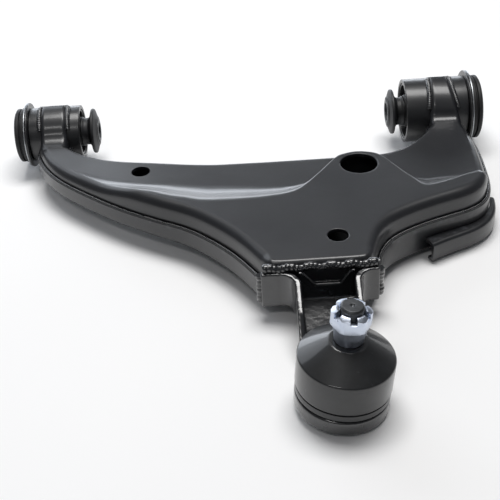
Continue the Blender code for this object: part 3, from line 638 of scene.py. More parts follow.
def bent_edge(curve, inward, full_bend):
    """Wall and rounded edge of the sheet, from the skirt up: its outer rows and its inner ones."""
    bend = np.where(over_tube, SADDLE_BEND, full_bend)
    bend = running_mean(bend, 5)
    sideways = (beside(curve, inward) - curve) * bend[:, None]
    sideways = unfolded(curve, curve + sideways) - curve
    through = sideways * (SHEET / bend)[:, None]
    top = top_surface(curve + sideways)
    outside = []
    inside = []
    for angle in BEND_TURNS:
        row = lifted(curve + sideways * (1.0 - math.cos(angle)), top)
        row[:, 1:] -= facing * (bend * (1.0 - math.sin(angle)))[:, None]
        outside.append(row)
        row = row.copy()
        row[:, :2] += through * math.cos(angle)
        row[:, 1:] -= facing * SHEET * math.sin(angle)
        inside.append(row)
    skirt = floor_height(curve) + SKIRT_ABOVE_FLOOR
    shares = np.linspace(0.0, 1.0, 7)[:-1, None]
    whole = []
    for rows in (outside, inside):
        wall = np.repeat(rows[0][None], 6, axis=0)
        wall[:, :, 2] = skirt + (rows[0][:, 2] - skirt) * shares
        whole.append(np.concatenate((wall, rows)))
    return whole


NOSE_DEPTH = 0.004
NOSE_HALF_WIDTH = 0.045
at_nose = (shell_edge[:, 1] < NOSE_REACH + NOSE_DEPTH) & (np.abs(shell_edge[:, 0]) < NOSE_HALF_WIDTH)
front_out, front_in = bent_edge(shell_edge, -1.0, np.where(at_nose, NOSE_BEND, FRONT_BEND))
back_out, back_in = bent_edge(shell_back, 1.0, BACK_BEND)
first = back_out[-1][:, :2]
last = front_out[-1][:, :2]
shares = np.linspace(0.0, 1.0, 201)
feet = []
crests = []
for start, end in zip(first, last):
    raised = slope_share(start + np.outer(shares, end - start))
    low = shares[raised < 0.01]
    foot = min(max(low.max(), 0.03), 0.7) if low.size else 0.03
    high = shares[(raised > 0.99) & (shares > foot)]
    crest = high.min() if high.size else 0.9
    feet.append(foot)
    crests.append(min(max(crest, foot + 0.06), 0.8))
feet = running_mean(np.where(over_tube, 0.25, feet), 4)
crests = running_mean(np.where(over_tube, 0.5, crests), 4)
top_rows = []
for start, end, count in ((0.0, feet, 12), (feet, crests, 20), (crests, 1.0, 36)):
    for share in np.linspace(0.0, 1.0, count, endpoint=False)[1 if count == 12 else 0 :]:
        points = first + (last - first) * (start + (end - start) * share)[:, None]
        top_rows.append(lifted(points, top_surface(points)))
top_rows = np.array(top_rows)
under_rows = top_rows.copy()
under_rows[:, :, 1:] -= facing * SHEET
upper = pressing(
    "top_pressing",
    np.concatenate((back_out, top_rows, front_out[::-1])),
    np.concatenate((back_in, under_rows, front_in[::-1])),
)


def hole_cutter(across, along, radius, rim=0.0007):
    """A punch whose sides open out at the sheet's upper face, for a rim that is not sharp."""
    at = in_plan(across, along)
    profile = [(0.0, 0.0), (radius, 0.0)]
    profile += [
        (radius + rim * (1 - math.cos(turn)), PLATEAU_HEIGHT - rim * (1 - math.sin(turn)))
        for turn in np.linspace(0.0, math.pi / 2, 6)
    ]
    profile += [(radius + 3 * rim, PLATEAU_HEIGHT + 0.01), (0.0, PLATEAU_HEIGHT + 0.01)]
    foot = joint_base + np.array((at[0], at[1], 0.0))
    return turned("hole_cutter", profile, foot, (0.0, 0.0, 1.0), steps=96, closed=False, bend=0.0)


def punch(name, radius, low, high, foot, axis):
    """A plain round cutter."""
    profile = ((0.0, low), (radius, low), (radius, high), (0.0, high))
    return turned(name, profile, foot, axis, steps=160, closed=False, bend=0.0)


# The big hole and the two small ones, across and along in shares as above, with their radii.
HOLES = ((0.327, 0.533, 0.0155), (0.097, 0.122, 0.008), (-0.635, 0.63, 0.008))
TUBE_SPACE_HALF = 0.06
holes = [hole_cutter(*hole) for hole in HOLES]
tube_spaces = [
    punch("tube_space", radius + TUBE_GAP, -TUBE_SPACE_HALF, TUBE_SPACE_HALF, middle, (1.0, 0.0, 0.0))
    for middle, radius in ((rear_middle, REAR_TUBE_RADIUS), (front_middle, FRONT_TUBE_RADIUS))
]
made_solid(taken_from(upper, *holes, *tube_spaces))

paint = Finish("satin_black_paint", Coat_Roughness=0.16, Specular_IOR_Level=0.5)
paint_mottle = paint.grain(38.0, 4.0)
paint_worn = paint.edges(0.515, 0.56) * paint.between(paint.grain(160.0, 4.0), 0.52, 0.7)
paint_colour = paint.mix(paint_mottle, (0.0055, 0.006, 0.0075), (0.0125, 0.0135, 0.0165))
paint.coloured(paint_worn * 0.5, paint_colour, (0.07, 0.075, 0.085))
paint.wear("Roughness", 0.3 + 0.16 * paint.grain(17.0, 3.0) + 0.06 * paint.grain(420.0, 2.0))
paint.clouded("Coat Weight", 0.3, 0.3, 9.0, 2.0)
paint.pitted((1100.0, 2.0, 0.000018), (55.0, 2.0, 0.00018))
fitted(upper, paint, "arm", "paint", "upper_shell")

# Lower shell. The second 3 mm pressing, a tray whose walls stand outside the upper shell's skirt; the
# two are welded along that ledge. It is left open at the nose, where the ball joint carrier goes in.
SEAM_HEIGHT = 0.028
FLOOR_BEND = 0.006
seam_out = SHEET + TUBE_GAP
TRAY_CURL = 0.022
reach_of_curl = ~over_tube | (tube_height < PIVOT_HEIGHT + TRAY_CURL)
tray_back = unfolded(shell_back, beside(shell_back, -seam_out))[reach_of_curl]
tray_edge = unfolded(shell_edge, beside(shell_edge, seam_out))[reach_of_curl]
tray_floor = 0.5 * (floor_height(tray_back) + floor_height(tray_edge))


def tray_wall(curve, inward):
    """Wall of the tray from the seam down and round its bend, as outer rows and inner ones."""
    bent = unfolded(curve, beside(curve, inward * FLOOR_BEND)) - curve
    through = bent * (SHEET / FLOOR_BEND)
    outside = []
    inside = []
    for share in (0.0, 0.3, 0.6):
        height = SEAM_HEIGHT + (tray_floor + FLOOR_BEND - SEAM_HEIGHT) * share
        outside.append(lifted(curve, height))
        inside.append(lifted(curve + through, height))
    for angle in BEND_TURNS:
        down = FLOOR_BEND * (1.0 - math.sin(angle))
        row = lifted(curve + bent * (1.0 - math.cos(angle)), tray_floor + down)
        outside.append(row)
        inside.append(row + lifted(through * math.cos(angle), SHEET * math.sin(angle)))
    return np.array(outside), np.array(inside)


tray_edge_out, tray_edge_in = tray_wall(tray_edge, -1.0)
tray_back_out, tray_back_in = tray_wall(tray_back, 1.0)
across_floor = np.linspace(0.0, 1.0, 12)[1:-1, None, None]
tray_out = tray_edge_out[-1] + (tray_back_out[-1] - tray_edge_out[-1]) * across_floor
lower = pressing(
    "tray_pressing",
    np.concatenate((tray_edge_out, tray_out, tray_back_out[::-1])),
    np.concatenate((tray_edge_in, tray_out + (0.0, 0.0, SHEET), tray_back_in[::-1])),
)


def extruded(name, outline, low, high, axis):
    """A closed outline swept along an axis. For X the outline is (y, z), for Y (x, z)."""
    place = {
        "X": lambda a, b, at: (at, a, b),
        "Y": lambda a, b, at: (a, at, b),
        "Z": lambda a, b, at: (a, b, at),
    }[axis]
    shape = bmesh.new()
    ends = []
    for at in (low, high):
        ends.append([shape.verts.new(joint_base + np.array(place(a, b, at))) for a, b in outline])
        shape.faces.new(ends[-1])
    count = len(outline)
    for i in range(count):
        near, far = ends
        shape.faces.new((near[i], near[(i + 1) % count], far[(i + 1) % count], far[i]))
    return from_faces(name, shape)


def put_away(*helpers):
    for helper in helpers:
        bpy.data.objects.remove(helper)


NECK_HALF_WIDTH = 0.024
WING_LEFT = 0.024
WING_RIGHT = 0.015
room_left = -NECK_HALF_WIDTH - WING_LEFT - 0.02
room_right = NECK_HALF_WIDTH + WING_RIGHT + 0.02
room_outline = [(room_left, 0.066), (room_right, 0.066), (room_right, NOSE_REACH), (room_left, NOSE_REACH)]
carrier_room = extruded("carrier_room", room_outline, -0.02, 0.06, "Z")
made_solid(taken_from(lower, carrier_room, *tube_spaces))
fitted(lower, paint, "arm", "paint", "lower_shell")
put_away(carrier_room, *holes, *tube_spaces)

# Side bracket. A short channel of 2.5 mm sheet welded along the tray's front corner, open at both ends,
# deeper at its nose end. Painted with the arm.
BRACKET_DEPTH = (0.011, 0.0045)
BRACKET_TOP = 0.016
BRACKET_FLOOR = -0.001
BRACKET_SHEET = 0.0025
BRACKET_BEND = 0.003
BRACKET_STATIONS = (21.3, 24.9)
begins, ends = (round(len(rear_end) - 1 + STATION_STEPS * (at + 1)) for at in BRACKET_STATIONS)
bracket_near = beside(shell_edge, SHEET + 2 * TUBE_GAP)[begins : ends + 1]
bracket_out = (beside(shell_edge, 1.0) - shell_edge)[begins : ends + 1]
bracket_out /= np.linalg.norm(bracket_out, axis=1)[:, None]
bracket_depth = np.linspace(*BRACKET_DEPTH, len(bracket_near))


def bracket_rows(inset):
    """Rows of the channel's outer face, or of its inner one when inset is the sheet's thickness."""
    bend = BRACKET_BEND - inset
    rows = [lifted(bracket_near, BRACKET_TOP - inset)]
    turns = np.radians(np.linspace(0.0, 90.0, 7))
    for turn in turns:
        reach = bracket_depth - BRACKET_BEND + bend * math.sin(turn)
        height = BRACKET_TOP - BRACKET_BEND + bend * math.cos(turn)
        rows.append(lifted(bracket_near + bracket_out * reach[:, None], height))
    for turn in turns[::-1]:
        reach = bracket_depth - BRACKET_BEND + bend * math.sin(turn)
        height = BRACKET_FLOOR + BRACKET_BEND - bend * math.cos(turn)
        rows.append(lifted(bracket_near + bracket_out * reach[:, None], height))
    reach = bracket_depth * 0.4
    rows.append(lifted(bracket_near + bracket_out * reach[:, None], BRACKET_FLOOR + inset))
    return rows


bracket = pressing("bracket_channel", bracket_rows(0.0), bracket_rows(BRACKET_SHEET))
made_solid(bracket)
fitted(bracket, paint, "arm", "paint", "side_bracket")

# Ball joint carrier. An eye for the joint's housing on two bent walls, whose wings are welded to the
# nose of the pressings, with a floor web and a notched end plate between them. Heavily painted.
CARRIER_SHEET = 0.005
WING_BEND = 0.010
WING_HEIGHT = 0.041
WING_FLOOR = 0.011
HOUSING_RADIUS = 0.0225
EYE_WALL = 0.0094
EYE_RADIUS = HOUSING_RADIUS + TUBE_GAP + EYE_WALL
EYE_HEIGHT = 0.0115
SPIGOT_WALL = 0.0047
SPIGOT_RADIUS = HOUSING_RADIUS + TUBE_GAP + SPIGOT_WALL
SPIGOT_TOP = EYE_HEIGHT + 0.007
carrier_face = NOSE_REACH - TUBE_GAP
carrier_front = carrier_face - CARRIER_SHEET


def arc(centre, radius, start, end, count):
    turns = np.radians(np.linspace(start, end, count + 1))
    return [(centre[0] + radius * math.cos(t), centre[1] + radius * math.sin(t)) for t in turns]


def carrier_wall(side, wing, clear_of_boot):
    """One wall: bent sheet in plan, cut to its outline from the side."""
    bend = (NECK_HALF_WIDTH + WING_BEND, carrier_front - WING_BEND)
    inner = NECK_HALF_WIDTH - CARRIER_SHEET
    plan = [(NECK_HALF_WIDTH, 0.02)]
    plan += arc(bend, WING_BEND, 180.0, 90.0, 12)
    plan += [(NECK_HALF_WIDTH + wing, carrier_front), (NECK_HALF_WIDTH + wing, carrier_face)]
    plan += arc(bend, WING_BEND + CARRIER_SHEET, 90.0, 180.0, 12)
    plan += [(inner, 0.02)]
    wall = extruded("wall", [(side * x, y) for x, y in plan], -0.01, 0.06, "Z")
    outline = [
        (0.018, 0.001),
        (0.036, 0.001),
        (carrier_front - WING_BEND, WING_FLOOR - 0.002),
        (carrier_front, WING_FLOOR),
        (carrier_face + 0.001, WING_FLOOR),
        (carrier_face + 0.001, WING_HEIGHT),
        (carrier_front - 0.006, WING_HEIGHT - 0.002),
        (0.060, 0.028),
        (clear_of_boot + 0.006, 0.0135),
        (clear_of_boot, EYE_HEIGHT - 0.002),
        (0.018, EYE_HEIGHT - 0.002),
    ]
    shape = extruded("wall_outline", outline, -0.06, 0.06, "X")
    made_solid(taken_from(wall, shape, operation="INTERSECT"))
    put_away(shape)
    return wall


BOOT_RADIUS = SPIGOT_RADIUS + 0.005
clear_of_boot = BOOT_RADIUS + 0.004
eye = turned(
    "eye",
    [
        (HOUSING_RADIUS - 0.003, SPIGOT_TOP),
        (SPIGOT_RADIUS, SPIGOT_TOP),
        (SPIGOT_RADIUS, EYE_HEIGHT),
        (EYE_RADIUS - 0.001, EYE_HEIGHT),
        (EYE_RADIUS, EYE_HEIGHT - 0.001),
        (EYE_RADIUS, 0.001),
        (EYE_RADIUS - 0.001, 0.0),
        (HOUSING_RADIUS - 0.003, 0.0),
    ],
    joint_base,
    joint_axis,
)
web_half = NECK_HALF_WIDTH - CARRIER_SHEET + 0.002
web = extruded(
    "web",
    [
        (0.020, 0.002),
        (carrier_front - 0.004, 0.010),
        (carrier_face, 0.011),
        (carrier_face, 0.020),
        (carrier_front, 0.0165),
        (carrier_front - 0.003, 0.0155),
        (clear_of_boot + 0.004, 0.0085),
        (0.020, 0.0085),
    ],
    -web_half,
    web_half,
    "X",
)
end_plate = extruded(
    "end_plate",
    [
        (-web_half, 0.012),
        (web_half, 0.012),
        (web_half, WING_HEIGHT - 0.0005),
        (0.018, WING_HEIGHT - 0.0005),
        (0.010, 0.029),
        (-0.008, 0.029),
        (-0.018, WING_HEIGHT - 0.0005),
        (-web_half, WING_HEIGHT - 0.0005),
    ],
    carrier_front,
    carrier_face,
    "Y",
)
parts = [carrier_wall(side, wing, clear_of_boot) for side, wing in ((-1, WING_LEFT), (1, WING_RIGHT))]
parts += [eye, web, end_plate]
whole = bmesh.new()
for piece in parts:
    whole.from_mesh(piece.data)
put_away(*parts)
carrier = from_faces("joint_carrier", whole, outwards=False)
skin = carrier.modifiers.new("one_skin", "REMESH")
skin.mode = "VOXEL"
skin.voxel_size = 0.0007
ease = carrier.modifiers.new("ease", "SMOOTH")
ease.factor = 0.5
ease.iterations = 16
bore = punch("bore", HOUSING_RADIUS + TUBE_GAP, -0.01, 0.05, joint_base, joint_axis)
made_solid(taken_from(carrier, bore))
put_away(bore)
gloss = Finish("thick_black_paint", Coat_Roughness=0.06, Coat_IOR=1.6)
gloss_mottle = gloss.grain(45.0, 3.0)
gloss.coloured(gloss_mottle, (0.005, 0.0055, 0.0065), (0.011, 0.012, 0.0145))
gloss.clouded("Roughness", 0.2, 0.14, 30.0, 3.0)
gloss.clouded("Coat Weight", 0.75, 0.25, 12.0, 2.0)
gloss.pitted((900.0, 2.0, 0.00002), (150.0, 3.0, 0.0005))
fitted(carrier, gloss, "arm", "paint", "ball_joint_carrier")

# Bushes. Each is a welded tube, a pressed-in steel can with a rolled flange, the bonded rubber, the
# inner sleeve for the pivot bolt, a grooved bumper ring on the flange and a stopper disc on a neck.
TUBE_WALL = 0.0035
CAN_WALL = 0.0015
FLANGE_LIP = 0.005
FLANGE_THICKNESS = 0.0035
BUMPER_LENGTH = 0.0095
STOPPER_STAND_OFF = 0.009
STOPPER_RIM = 0.0028
STOPPER_DOME = 0.003
SLEEVE_WALL = 0.0035
SLEEVE_PROUD = 0.0006

tube_paint = Finish("tube_paint", Coat_Roughness=0.24)
tube_paint.coloured(tube_paint.grain(50.0, 3.0), (0.006, 0.0065, 0.0075), (0.013, 0.014, 0.016))
tube_paint.clouded("Roughness", 0.34, 0.14, 26.0, 3.0)
tube_paint.clouded("Coat Weight", 0.3, 0.3, 14.0, 2.0)
tube_paint.pitted((900.0, 2.0, 0.00002), (60.0, 2.0, 0.0002))

plated = Finish("plated_steel", Metallic=1.0)
plated.coloured(plated.grain(90.0, 4.0), (0.3, 0.31, 0.32), (0.5, 0.52, 0.54))
plated.clouded("Roughness", 0.28, 0.2, 240.0, 3.0)
plated.pitted((700.0, 3.0, 0.00002))

dark_steel = Finish("phosphated_steel", Metallic=0.85)
dark_haze = dark_steel.grain(110.0, 4.0)
dark_steel.coloured(dark_haze, (0.035, 0.037, 0.04), (0.11, 0.115, 0.12))
dark_steel.clouded("Roughness", 0.34, 0.2, 300.0, 3.0)
dark_steel.pitted((900.0, 3.0, 0.00002))

rubber = Finish("black_rubber", Specular_IOR_Level=0.45)
rubber_bloom = rubber.between(rubber.grain(70.0, 4.0), 0.45, 0.75)
rubber.coloured(rubber_bloom, (0.0075, 0.0078, 0.0085), (0.017, 0.018, 0.02))
rubber.clouded("Roughness", 0.48, 0.18, 40.0, 3.0)
rubber.pitted((1500.0, 3.0, 0.00003))

disc_rubber = Finish("stopper_rubber", Specular_IOR_Level=0.5)
disc_dust = disc_rubber.between(disc_rubber.grain(55.0, 4.0), 0.4, 0.72)
disc_rubber.coloured(disc_dust, (0.006, 0.0065, 0.0072), (0.016, 0.0175, 0.02))
disc_rubber.clouded("Roughness", 0.42, 0.16, 35.0, 3.0)
disc_rubber.pitted((1300.0, 3.0, 0.00003))


def bush(prefix, side, centre, tube_radius, length, bumper, stopper, neck, bore_radius):
    """All pieces of one bush. Heights run outwards from its middle, to the flange end."""
    half = length / 2
    bore_wall = tube_radius - TUBE_WALL
    can_radius = bore_wall - TUBE_GAP
    can_bore = can_radius - CAN_WALL
    flange = tube_radius + FLANGE_LIP
    rubber_radius = can_bore - TUBE_GAP
    sleeve_radius = bore_radius + SLEEVE_WALL
    rubber_bore = sleeve_radius + TUBE_GAP
    flange_base = half + TUBE_GAP
    flange_top = flange_base + FLANGE_THICKNESS
    bumper_base = flange_top + TUBE_GAP
    bumper_top = bumper_base + BUMPER_LENGTH
    sleeve_top = bumper_top + SLEEVE_PROUD
    disc_back = -half - STOPPER_STAND_OFF
    disc_rim = disc_back - STOPPER_RIM
    disc_face = disc_rim - STOPPER_DOME
    sleeve_base = disc_face - SLEEVE_PROUD
    groove = bumper_base + BUMPER_LENGTH * 0.45
    outwards = (side, 0.0, 0.0)

    def ring(name, profile, bend, finish, body, slot):
        made = turned(f"{prefix}_{name}_turned", profile, centre, outwards, bend=bend)
        fitted(made, finish, body, slot, f"{prefix}_{name}")

    ring("bush_tube", walled(bore_wall, tube_radius, -half, half), 0.0007, tube_paint, "arm", "paint")
    lip_base = flange_top - 0.0011
    rolled = (lip_base - flange_base) / 2
    bead = [
        (flange - rolled + rolled * math.cos(t), flange_base + rolled + rolled * math.sin(t))
        for t in np.radians(np.linspace(90.0, -90.0, 13))
    ]
    can_end = -half + 0.001
    bead += [(can_radius, flange_base), (can_radius, can_end), (can_bore, can_end), (can_bore, lip_base)]
    ring("outer_can", bead, 0.0002, tube_paint, "arm", "can_steel")
    lip_profile = walled(can_bore, flange - 0.0003, lip_base + 0.00005, flange_top)
    lip = turned(f"{prefix}_can_lip", lip_profile, centre, outwards, bend=0.0003)
    fitted(lip, plated, "arm", "can_steel", f"{prefix}_outer_can")
    bonded = (
        (rubber_bore, half),
        (rubber_radius, half - 0.003),
        (rubber_radius, -half + 0.007),
        (rubber_radius - 0.006, -half + 0.009),
        (neck + 0.001, -half + 0.0005),
        (rubber_bore, -half + 0.0005),
    )
    ring("rubber", bonded, 0.0012, rubber, "arm", "rubber")
    core = f"{prefix}_core"
    sleeve = walled(bore_radius, sleeve_radius, sleeve_base, sleeve_top)
    ring("inner_sleeve", sleeve, 0.0005, dark_steel, core, "sleeve_steel")
    grooved = (
        (rubber_bore, bumper_top),
        (bumper - 0.003, bumper_top),
        (bumper - 0.0005, bumper_top - 0.0015),
        (bumper - 0.0005, groove + 0.0011),
        (bumper - 0.0021, groove + 0.0006),
        (bumper - 0.0021, groove - 0.0002),
        (bumper, groove - 0.0009),
        (bumper, bumper_base),
        (rubber_bore, bumper_base),
    )
    ring("bumper_ring", grooved, 0.0006, rubber, "arm", "rubber")
    mushroom = (
        (rubber_bore, -half),
        (neck + 0.0012, -half),
        (neck - 0.0004, -half - 0.0028),
        (neck - 0.0004, disc_back + 0.0028),
        (neck + 0.0026, disc_back + 0.0006),
        (stopper, disc_back - 0.0003),
        (stopper, disc_rim),
        (stopper * 0.7, disc_rim - 0.7 * STOPPER_DOME),
        (rubber_bore + 0.002, disc_face),
        (rubber_bore, disc_face),
    )
    ring("stopper_disc", mushroom, 0.0009, disc_rubber, core, "rubber")


REAR_SIZES = dict(length=0.046, bumper=0.025, stopper=0.0205, neck=0.0127, bore_radius=0.0072)
FRONT_SIZES = dict(length=0.056, bumper=0.0295, stopper=0.0205, neck=0.0131, bore_radius=0.0082)
bush("rear", -1.0, rear_middle, REAR_TUBE_RADIUS, **REAR_SIZES)
bush("front", 1.0, front_middle, FRONT_TUBE_RADIUS, **FRONT_SIZES)

# Ball joint. A pressed-in housing, a two-part plastic seat round the ball, and a closure plate held by a
# snap ring underneath. The ball stud turns and swings in the seat.
BALL_RADIUS = 0.0135
BALL_HEIGHT = 0.0185
SEAT_WALL = 0.0019
RUNNING_GAP = 0.00035
HOUSING_BOTTOM = 0.0008
COUNTERBORE_RADIUS = HOUSING_RADIUS - 0.003
COUNTERBORE_TOP = 0.0062
HOUSING_TOP = BALL_HEIGHT + 0.0125
CAVITY_RADIUS = BALL_RADIUS + 2 * SEAT_WALL + 3 * RUNNING_GAP
GROOVE_LOW = HOUSING_BOTTOM + 0.0005
GROOVE_HIGH = GROOVE_LOW + 0.0017
GROOVE_RADIUS = COUNTERBORE_RADIUS + 0.0011
BOOT_BASE = EYE_HEIGHT + 0.0014
CLAMP_HEIGHT = 0.0044
BOOT_RIM = BOOT_BASE + 0.0283
BOOT_TOP = BOOT_RIM + 0.0137
BOOT_WALL = 0.0031
NECK_RADIUS = 0.0072
SHOULDER_RADIUS = 0.0092
SHOULDER_BASE = BOOT_TOP - 0.0064
STUD_RADIUS = 0.0078
NUT_BASE = BOOT_TOP + TUBE_GAP
NUT_SHOULDER = NUT_BASE + 0.0133
NUT_TOP = NUT_BASE + 0.0248
STUD_TOP = NUT_TOP + 0.0028


def round_the_ball(radius, low, high, count):
    """Points of a ball's side between two heights from its centre, top first."""
    start = math.degrees(math.asin(high / radius))
    end = math.degrees(math.asin(low / radius))
    return arc((0.0, BALL_HEIGHT), radius, start, end, count)


def joint_ring(name, profile, finish, body, slot, *nodes, bend=0.0003, closed=True):
    made = turned(name, profile, joint_base, joint_axis, closed=closed, bend=bend)
    return fitted(made, finish, body, slot, *nodes)


joint_ring(
    "housing_turned",
    [
        (HOUSING_RADIUS - 0.0025, HOUSING_TOP),
        (HOUSING_RADIUS, HOUSING_TOP - 0.0015),
        (HOUSING_RADIUS, HOUSING_BOTTOM),
        (COUNTERBORE_RADIUS, HOUSING_BOTTOM),
        (COUNTERBORE_RADIUS, GROOVE_LOW),
        (GROOVE_RADIUS, GROOVE_LOW),
        (GROOVE_RADIUS, GROOVE_HIGH),
        (COUNTERBORE_RADIUS, GROOVE_HIGH),
        (COUNTERBORE_RADIUS, COUNTERBORE_TOP),
    ]
    + round_the_ball(CAVITY_RADIUS, COUNTERBORE_TOP - BALL_HEIGHT, HOUSING_TOP - BALL_HEIGHT, 24)[::-1],
    tube_paint,
    "arm",
    "paint",
    "ball_joint_housing",
    bend=0.00015,
)

acetal = Finish("bearing_plastic", Specular_IOR_Level=0.5)
acetal.coloured(acetal.grain(120.0, 3.0), (0.62, 0.6, 0.52), (0.74, 0.72, 0.65))
acetal.clouded("Roughness", 0.4, 0.15, 260.0, 2.0)
acetal.pitted((1200.0, 2.0, 0.00001))
bearing_in = BALL_RADIUS + RUNNING_GAP
bearing_out = bearing_in + SEAT_WALL
liner_in = bearing_out + RUNNING_GAP
liner_out = liner_in + SEAT_WALL
for name, outer, inner, low, high, body, node in (
    ("fixed_seat", liner_out, liner_in, -0.006, 0.008, "swing", "bearing_liner"),
    ("turning_seat", bearing_out, bearing_in, -0.007, 0.0085, "lean", "swivel_bearing"),
):
    joint_ring(
        name,
        round_the_ball(outer, low, high, 16) + round_the_ball(inner, low, high, 16)[::-1],
        acetal,
        body,
        "plastic",
        node,
        bend=0.0002,
    )

DRILL = 0.0018
FLAT_RADIUS = 0.007
flat_at = -math.sqrt(BALL_RADIUS**2 - FLAT_RADIUS**2)
joint_ring(
    "stud_turned",
    [
        (0.0, STUD_TOP - 1.3 * DRILL),
        (DRILL, STUD_TOP),
        (STUD_RADIUS - 0.0012, STUD_TOP),
        (STUD_RADIUS, STUD_TOP - 0.0012),
        (STUD_RADIUS, BOOT_TOP),
        (SHOULDER_RADIUS, BOOT_TOP - 0.0004),
        (SHOULDER_RADIUS, SHOULDER_BASE + 0.002),
        (NECK_RADIUS, SHOULDER_BASE),
    ]
    + round_the_ball(BALL_RADIUS, flat_at, math.sqrt(BALL_RADIUS**2 - NECK_RADIUS**2), 28)
    + [(0.0, BALL_HEIGHT + flat_at)],
    dark_steel,
    "stud",
    "stud_steel",
    "ball_stud",
    bend=0.0003,
    closed=False,
)

zinc = Finish("bright_zinc", Metallic=1.0)
zinc_cloud = zinc.grain(130.0, 4.0)
zinc.coloured(zinc_cloud, (0.46, 0.52, 0.64), (0.74, 0.79, 0.88))
zinc.clouded("Roughness", 0.2, 0.22, 220.0, 3.0)
zinc_scratch = zinc.grain(500.0, 2.0, 0.5, (1.0, 1.0, 0.12))
zinc.wear("Normal", zinc.bump(zinc.grain(800.0, 2.0), 0.00003, zinc.bump(zinc_scratch, 0.00002)))
PLATE_BASE = GROOVE_HIGH + TUBE_GAP
PLATE_TOP = PLATE_BASE + 0.0012
plate_radius = COUNTERBORE_RADIUS - TUBE_GAP
plate = walled(0.0, plate_radius, PLATE_BASE, PLATE_TOP)
joint_ring("closure_disc", plate, zinc, "arm", "zinc", "closure_plate", closed=False)
washer_base = PLATE_TOP + TUBE_GAP
WASHER_BORE = 0.0095
dished = (
    (WASHER_BORE, washer_base + 0.0009),
    (plate_radius, washer_base + 0.0005),
    (plate_radius, washer_base),
    (WASHER_BORE, washer_base + 0.0004),
)
joint_ring("dished_washer", dished, plated, "arm", "can_steel", "preload_washer", bend=0.0001)
ring_low = GROOVE_LOW + TUBE_GAP
ring_high = GROOVE_HIGH - TUBE_GAP
SNAP_WIDTH = 0.0035
SNAP_HALF_GAP = 0.004
snap_profile = walled(GROOVE_RADIUS - SNAP_WIDTH, GROOVE_RADIUS - TUBE_GAP, ring_low, ring_high)
snap = turned("snap_ring_turned", snap_profile, joint_base, joint_axis, bend=0.0002)
gap_outline = [(side * SNAP_HALF_GAP, y) for side, y in ((-1, -0.03), (1, -0.03), (1, -0.01), (-1, -0.01))]
snap_gap = extruded("snap_gap", gap_outline, -0.01, 0.01, "Z")
made_solid(taken_from(snap, snap_gap))
put_away(snap_gap)
fitted(snap, dark_steel, "arm", "can_steel", "snap_ring")

# Dust boot. A moulded drum with a domed top, held to the carrier's spigot by a band and to the stud's
# shoulder by a moulded-in ring. Satin rubber.
boot_rubber = Finish("satin_boot_rubber", Specular_IOR_Level=0.4, Coat_Roughness=0.09)
boot_cloud = boot_rubber.between(boot_rubber.grain(60.0, 5.0, 0.6), 0.3, 0.75)
boot_scuff = boot_rubber.between(boot_rubber.grain(260.0, 3.0, 0.6, (1.0, 1.0, 0.3)), 0.66, 0.8)
boot_colour = boot_rubber.mix(boot_cloud, (0.006, 0.0065, 0.007), (0.0125, 0.0135, 0.015))
boot_rubber.coloured(boot_scuff * 0.35, boot_colour, (0.09, 0.095, 0.1))
boot_rubber.clouded("Roughness", 0.36, 0.14, 48.0, 4.0)
boot_rubber.clouded("Coat Weight", 0.5, 0.3, 20.0, 2.0)
boot_rubber.pitted((1000.0, 3.0, 0.000025))
lip_bore = SPIGOT_RADIUS + 0.0004
clamp_out = BOOT_RADIUS - 0.0004
clamp_in = clamp_out - 0.001
lip_top = BOOT_BASE + CLAMP_HEIGHT
shoulder_bore = SHOULDER_RADIUS + 0.0004
ring_in = SHOULDER_RADIUS + 0.0006
ring_out = ring_in + 0.0018
ring_top = BOOT_TOP - 0.0013
ring_base = ring_top - 0.0036
boot_split = BOOT_RIM - 0.0032
boot_inner = BOOT_RADIUS - BOOT_WALL
SPLIT_GAP = 0.00002
drum_profile = [
    (BOOT_RADIUS, boot_split - 0.001),
    (BOOT_RADIUS, lip_top + 0.0014),
    (clamp_in - TUBE_GAP, lip_top + 0.0001),
    (clamp_in - TUBE_GAP, BOOT_BASE),
    (lip_bore, BOOT_BASE),
    (lip_bore, lip_top + 0.0006),
    (boot_inner, lip_top + 0.0018),
    (boot_inner, boot_split - 0.001),
]
dome_profile = [
    (BOOT_RADIUS, boot_split + 0.0006),
    (BOOT_RADIUS, BOOT_RIM + 0.0002),
    (shoulder_bore + 0.0034, BOOT_TOP - 0.0004),
    (shoulder_bore, BOOT_TOP),
    (shoulder_bore, ring_top + TUBE_GAP),
    (ring_out + TUBE_GAP, ring_top + TUBE_GAP),
    (ring_out + TUBE_GAP, ring_base),
    (ring_out + 0.0018, ring_base),
    (boot_inner, BOOT_RIM - 0.002),
    (boot_inner, boot_split + 0.0003),
]


def moulded(name, profile, edge, bend, bends):
    """One half of the boot, open to the other at an edge that is left crisp."""
    profile = rounded(profile, bend, closed=False, bends=bends)
    profile = [(BOOT_RADIUS, edge)] + profile + [(boot_inner, edge)]
    return turned(name, profile, joint_base, joint_axis, steps=160, bend=0.0)


boot_wall = moulded("boot_drum", drum_profile, boot_split - SPLIT_GAP, 0.0009, 4)
boot_dome = moulded("boot_dome", dome_profile, boot_split + SPLIT_GAP, 0.0011, 6)


for piece in (boot_wall, boot_dome):
    piece.data.materials.append(boot_rubber.material)
    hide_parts("dust_boot")
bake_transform(boot_wall)
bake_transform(boot_dome)
band = walled(clamp_in, clamp_out, BOOT_BASE, lip_top)
joint_ring("clamp_band", band, tube_paint, "arm", "paint", "boot_clamp_ring")
collar = walled(ring_in, ring_out, ring_base, ring_top)
joint_ring("collar_insert", collar, plated, "lean", "can_steel", "boot_collar_ring")

